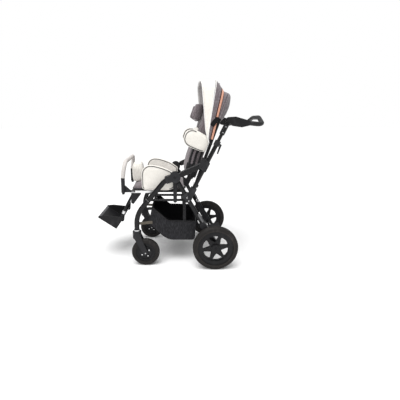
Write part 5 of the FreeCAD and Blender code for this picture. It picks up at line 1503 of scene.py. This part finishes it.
TREAD_EDGE = (-817.3, 310.1)
TREAD_SLOPE = math.radians(34.15)
TREAD_LIP = ((1.5, 0.9), (9.5, 1.3), (18, 0.9))


HUB_PIN = ((9, -1), (10, 0.3), (10, 1.6), (8.6, 2.4), (3, 2.4), (2.6, 1.4), (0.5, 1.4))
PULL_KNOB = ((6, -6), (6, 6), (11, 8), (12, 12), (12, 20), (9, 23), (2, 23.5))
KNOB_DOT = ((3, 22), (3, 24), (1, 24.2))
LEG_RING = 11.0


def ring(name, centre, axis, radius, thick, finish, steps=96):
    """A round bead about an axis."""
    side = axis.orthogonal().normalized()
    other = axis.cross(side)
    points = []
    for k in range(steps):
        turn = 2 * math.pi * k / steps
        points.append(centre + (side * math.cos(turn) + other * math.sin(turn)) * radius)
    return tube(name, points, thick, FINISHES[finish], closed=True, resolution=1)


SCREW = ((3.4, -2), (4.2, 0.4), (4.2, 1.6), (3.4, 2.5), (2.1, 2.5), (2.1, 1.2), (0.4, 1.2))
BOLT = ((3.6, -3), (5.0, 0.2), (5.0, 2.6), (4.2, 3.6), (2.4, 3.6), (2.2, 2.0), (0.5, 2.0))
RIVET = ((2.6, -2), (3.6, 0.1), (3.2, 1.1), (2.0, 1.7), (0.4, 1.9))
AXLE_CAP = ((15, -2), (16, 0.5), (15, 3.5), (11, 5), (9.5, 5), (9, 3.6), (6.5, 3.6), (6, 5.6), (2, 6))


class STROLLER_OT_wheels(bpy.types.Operator):
    """Beads, tread ribs, bolts and caps of the four wheels"""
    bl_idname = "stroller.wheels"
    bl_label = "Wheels"

    def execute(self, context):
        for name, sign in SIDES:
            self.rear_wheel(name, sign)
            self.front_wheel(name, sign)
        return {"FINISHED"}

    def rear_wheel(self, name, sign):
        lo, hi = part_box(f"rear_tyre_{name}")
        centre = (lo + hi) / 2
        radius = (hi.z - lo.z) / 2
        half = (hi.y - lo.y) / 2
        beads = []
        for k in (-1, 1):
            outer = centre + Y * (k * (half - 2.2 * MM))
            beads.append(ring(f"bead_{k}", outer, Y, radius - 26 * MM, 2.6 * MM, "bead"))
            beads.append(ring(f"lip_{k}", centre + Y * (k * 14 * MM), Y, radius - 33.5 * MM, 2.2 * MM, "rim"))
        for k in (-8, 0, 8):
            beads.append(ring(f"rib_{k}", centre + Y * (k * MM), Y, radius - 0.6 * MM, 1.5 * MM, "rubber"))
        trim = joined(f"rear_wheel_beads_{name}", beads)
        base = centre + Y * (sign * (half - 3.2 * MM))
        cap = lathe(f"rear_wheel_cap_{name}", AXLE_CAP, base, Y * sign, FINISHES["rim"])
        for part in (trim, cap):
            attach(part, f"rear_wheel_{name}")

    def front_wheel(self, name, sign):
        lo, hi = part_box(f"front_tyre_{name}")
        centre = (lo + hi) / 2
        radius = (hi.z - lo.z) / 2
        half = (hi.y - lo.y) / 2
        beads = []
        for k in (-1, 1):
            outer, inner = centre + Y * (k * (half - 3 * MM)), centre + Y * (k * 14.6 * MM)
            beads.append(ring(f"bead_{k}", outer, Y, radius - 17 * MM, 2.2 * MM, "bead", 72))
            beads.append(ring(f"lip_{k}", inner, Y, radius - 31 * MM, 1.8 * MM, "rim", 72))
        for k in (-6, 0, 6):
            place_of = centre + Y * (k * MM)
            beads.append(ring(f"rib_{k}", place_of, Y, radius - 0.6 * MM, 1.4 * MM, "rubber", 72))
        trim = joined(f"front_wheel_beads_{name}", beads)
        spots = []
        for face in (-1, 1):
            for degrees in (33, 123, 213, 303):
                turn = math.radians(degrees)
                out = centre + (X * math.cos(turn) + Z * math.sin(turn)) * (29 * MM) + Y * (face * 15 * MM)
                spots.append((out, Y * face))
        bolts = fasteners(f"front_wheel_bolts_{name}", spots, BOLT, FINISHES["chrome"])
        for part in (trim, bolts):
            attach(part, f"front_wheel_{name}")


class STROLLER_OT_fittings(bpy.types.Operator):
    """Screws, rivets, caps, knobs and the pull rings of the frame, and the lip of the footplate"""
    bl_idname = "stroller.fittings"
    bl_label = "Fittings"

    def execute(self, context):
        self.root_screws()
        self.upper_screws()
        self.rear_screws()
        self.caster_bolts()
        self.pull_rings()
        self.footplate_lip()
        return {"FINISHED"}

    def root_screws(self):
        spots, caps = [], []
        for _, sign in SIDES:
            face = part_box("fold_hubs")[1].y
            caps.append((Vector((HUB.x, sign * face, HUB.z)), Y * sign))
            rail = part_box("seat_front_rails")[1].y
            for x in (-560, -548):
                spots.append((place(x, sign * (rail / MM + 8), 507), Y * sign))
        pins = fasteners("hub_pins", caps, HUB_PIN, FINISHES["satin"])
        screws = fasteners("socket_screws", spots, SCREW, FINISHES["steel"])
        rings = []
        for _, sign in SIDES:
            rings.append(self.leg_ring(sign))
        bands = joined("leg_joint_rings", rings)
        for part in (pins, screws, bands):
            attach(part, "front_frame")

    def leg_ring(self, sign):
        """The thin bright joint line round the front leg."""
        along = (place(-502, 0, 395) - place(-360, 0, 575)).normalized()
        across = Vector((-along.z, 0, along.x))
        middle = place(-449.5, sign * 228, 461.5)
        points = []
        for k in range(36):
            turn = 2 * math.pi * k / 36
            wide = 6 * MM * math.copysign(min(1, abs(math.cos(turn)) * 3), math.cos(turn))
            wide += LEG_RING * MM * math.cos(turn)
            points.append(middle + across * wide + Y * (LEG_RING * MM * math.sin(turn)))
        return tube(f"leg_ring_{sign}", points, 0.8 * MM, FINISHES["steel"], closed=True, resolution=1)

    def upper_screws(self):
        spots, rivets = [], []
        for _, sign in SIDES:
            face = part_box("tube_brackets")[1].y / MM
            for x, z in ((-96, 690), (-76, 724)):
                spots.append((place(x, sign * face, z), Y * sign))
        screws = fasteners("bracket_screws", spots, SCREW, FINISHES["satin"])
        for _, sign in SIDES:
            for reach in (44, 84):
                at = KNUCKLE - PUSH_DIR * (reach * MM) + Y * (sign * (0.228 + 16.2 * MM))
                rivets.append((at, Y * sign))
        sleeve = fasteners("sleeve_rivets", rivets, RIVET, FINISHES["steel"])
        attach(screws, "upper_frame")
        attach(sleeve, "handle_slider")

    def rear_screws(self):
        spots = []
        for _, sign in SIDES:
            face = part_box("leg_connectors")[1].y / MM
            spots.append((place(-190, sign * face, 482), Y * sign))
            spots.append((place(-178, sign * face, 461), Y * sign))
        screws = fasteners("connector_screws", spots, SCREW, FINISHES["steel"])
        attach(screws, "rear_frame")

    def caster_bolts(self):
        for name, sign in SIDES:
            lo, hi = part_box(f"caster_fork_{name}")
            axle = Vector(JOINTS[f"front_spin_{name}"]["pos_m"])
            spots = [(Vector((axle.x, hi.y, axle.z)), Y), (Vector((axle.x, lo.y, axle.z)), -Y)]
            bolts = fasteners(f"caster_bolts_{name}", spots, BOLT, FINISHES["steel"])
            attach(bolts, f"caster_{name}")

    def pull_rings(self):
        """The knob and the strap with its ring at the foot of each push tube."""
        made = []
        for _, sign in SIDES:
            base = place(-137, sign * 228, 566)
            made.append(lathe(f"knob_{sign}", PULL_KNOB, base, PUSH_AFT, FINISHES["black"]))
            made.append(lathe(f"dot_{sign}", KNOB_DOT, base, PUSH_AFT, FINISHES["edging"], 16))
            hang = [place(-150, sign * 228, 520), place(-134, sign * 228, 506), place(-124, sign * 228, 490),
                    place(-119, sign * 228, 476)]
            rows = [[p + Y * (6 * MM * k) for k in (-1, 0, 1)] for p in dense(hang, 4 * MM)]
            made.append(thicken(sheet_piece(f"pull_{sign}", rows, FINISHES["webbing"]), 1.4 * MM, 0.0))
            low = place(-113, sign * 228, 465)
            made.append(ring(f"pull_ring_{sign}", low, Y, 12 * MM, 1.7 * MM, "chrome", 40))
        pulls = joined("fold_pulls", made)
        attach(pulls, "upper_frame")

    def footplate_lip(self):
        """The strip along the front edge of the scoop, a rolled lip whose pale grey is a painted highlight."""
        lo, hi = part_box("footplate")
        along = Vector((math.cos(TREAD_SLOPE), 0, -math.sin(TREAD_SLOPE)))
        above = Vector((math.sin(TREAD_SLOPE), 0, math.cos(TREAD_SLOPE)))
        rows = []
        for share in np.linspace(0.022, 0.978, 12):
            edge = place(TREAD_EDGE[0], 0, TREAD_EDGE[1])
            edge.y = lo.y + (hi.y - lo.y) * share
            rows.append([edge + (along * run + above * lift) * MM for run, lift in TREAD_LIP])
        strip = sheet_piece("footplate_lip", rows, FINISHES["lip"])
        lip = soften_edges(thicken(strip, 2.4 * MM, 0.0), 0.8 * MM)
        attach(lip, "footrest")


# Stage

class STROLLER_OT_stage(bpy.types.Operator):
    """Floor, soft light and the camera of the photograph"""
    bl_idname = "stroller.stage"
    bl_label = "Stage"

    def execute(self, context):
        stage = context.scene.stroller_stage
        self.floor(stage)
        self.light(stage)
        self.camera(stage)
        context.scene.view_settings.view_transform = "Standard"
        return {"FINISHED"}

    def floor(self, stage):
        made, tree, shader, where = blank("pale_floor", 0.7)
        tone = noise_node(tree, where, 3, 2)
        dim = tuple(c * 0.985 for c in stage.floor)
        tree.links.new(mixed(tree, tone, stage.floor, dim), shader.inputs["Base Color"])
        shader.inputs["Specular IOR Level"].default_value = 0.1
        size = 30
        corners = [(-size, -size, 0), (size, -size, 0), (size, size, 0), (-size, size, 0)]
        piece("floor", corners, [(0, 1, 2, 3)], made)

    def light(self, stage):
        world = bpy.data.worlds.new("studio")
        world.use_nodes = True
        tree = world.node_tree
        ground = tree.nodes["Background"]
        ground.inputs["Color"].default_value = (1, 1, 1, 1)
        seen = tree.nodes.new("ShaderNodeLightPath").outputs["Is Camera Ray"]
        tree.links.new(ramp(tree, seen, 0, 1, stage.sky, 1.0), ground.inputs["Strength"])
        bpy.context.scene.world = world
        broad = bpy.data.lights.new("broad", "SUN")
        broad.energy = stage.sun
        broad.angle = stage.sun_size
        holder = link(bpy.data.objects.new("broad", broad))
        holder.rotation_euler = Vector((0.35, 0.55, -1.6)).to_track_quat("-Z", "Y").to_euler()
        for name, spot, size, power in (
            ("overhead", (0.2, -0.3, 3.2), (2.4, 2.4), stage.key),
            ("beside_camera", (-1.1, -2.5, 2.1), (2.6, 0.3), stage.fill),
        ):
            lamp = bpy.data.lights.new(name, "AREA")
            lamp.shape = "RECTANGLE"
            lamp.size, lamp.size_y = size
            lamp.energy = power
            holder = link(bpy.data.objects.new(name, lamp))
            holder.location = spot
            aim = Vector((0, 0, 0.6)) - Vector(spot)
            holder.rotation_euler = aim.to_track_quat("-Z", "Y").to_euler()

    def camera(self, stage):
        data = bpy.data.cameras.new("photo_camera")
        data.sensor_width = 36
        data.lens = stage.lens
        data.shift_x = stage.shift_x
        data.shift_y = stage.shift_y
        holder = link(bpy.data.objects.new("photo_camera", data))
        holder.location = stage.eye
        holder.rotation_euler = (math.pi / 2 - stage.pitch, 0, -stage.yaw)
        bpy.context.scene.camera = holder


OPERATORS = (
    STROLLER_OT_frame, STROLLER_OT_seat, STROLLER_OT_guards, STROLLER_OT_pommel, STROLLER_OT_back,
    STROLLER_OT_flap,
    STROLLER_OT_trunk, STROLLER_OT_head, STROLLER_OT_canopy, STROLLER_OT_basket, STROLLER_OT_wheels,
    STROLLER_OT_fittings, STROLLER_OT_stage,
)
SETTINGS = (
    ("stroller_sizes", StrollerSizes), ("stroller_colours", StrollerColours),
    ("stroller_stage", StrollerStage),
)


class STROLLER_PT_panel(bpy.types.Panel):
    """Lists the sizes, colours and pieces"""
    bl_idname = "STROLLER_PT_panel"
    bl_label = "Stroller"
    bl_space_type = "VIEW_3D"
    bl_region_type = "UI"
    bl_category = "Stroller"

    def draw(self, context):
        for label, group in SETTINGS:
            held = getattr(context.scene, label)
            for name in group.__annotations__:
                self.layout.prop(held, name)
        for operator in OPERATORS:
            self.layout.operator(operator.bl_idname)


def register():
    for label, group in SETTINGS:
        bpy.utils.register_class(group)
        setattr(bpy.types.Scene, label, PointerProperty(type=group))
    for cls in OPERATORS + (STROLLER_PT_panel,):
        bpy.utils.register_class(cls)


def unregister():
    for cls in reversed(OPERATORS + (STROLLER_PT_panel,)):
        bpy.utils.unregister_class(cls)
    for label, group in reversed(SETTINGS):
        delattr(bpy.types.Scene, label)
        bpy.utils.unregister_class(group)


def corners(box):
    return [[float(c) for c in corner] for corner in box]


def main():
    register()
    for operator in OPERATORS:
        prefix, name = operator.bl_idname.split(".")
        getattr(getattr(bpy.ops, prefix), name)()


if __name__ == "__main__":
    main()
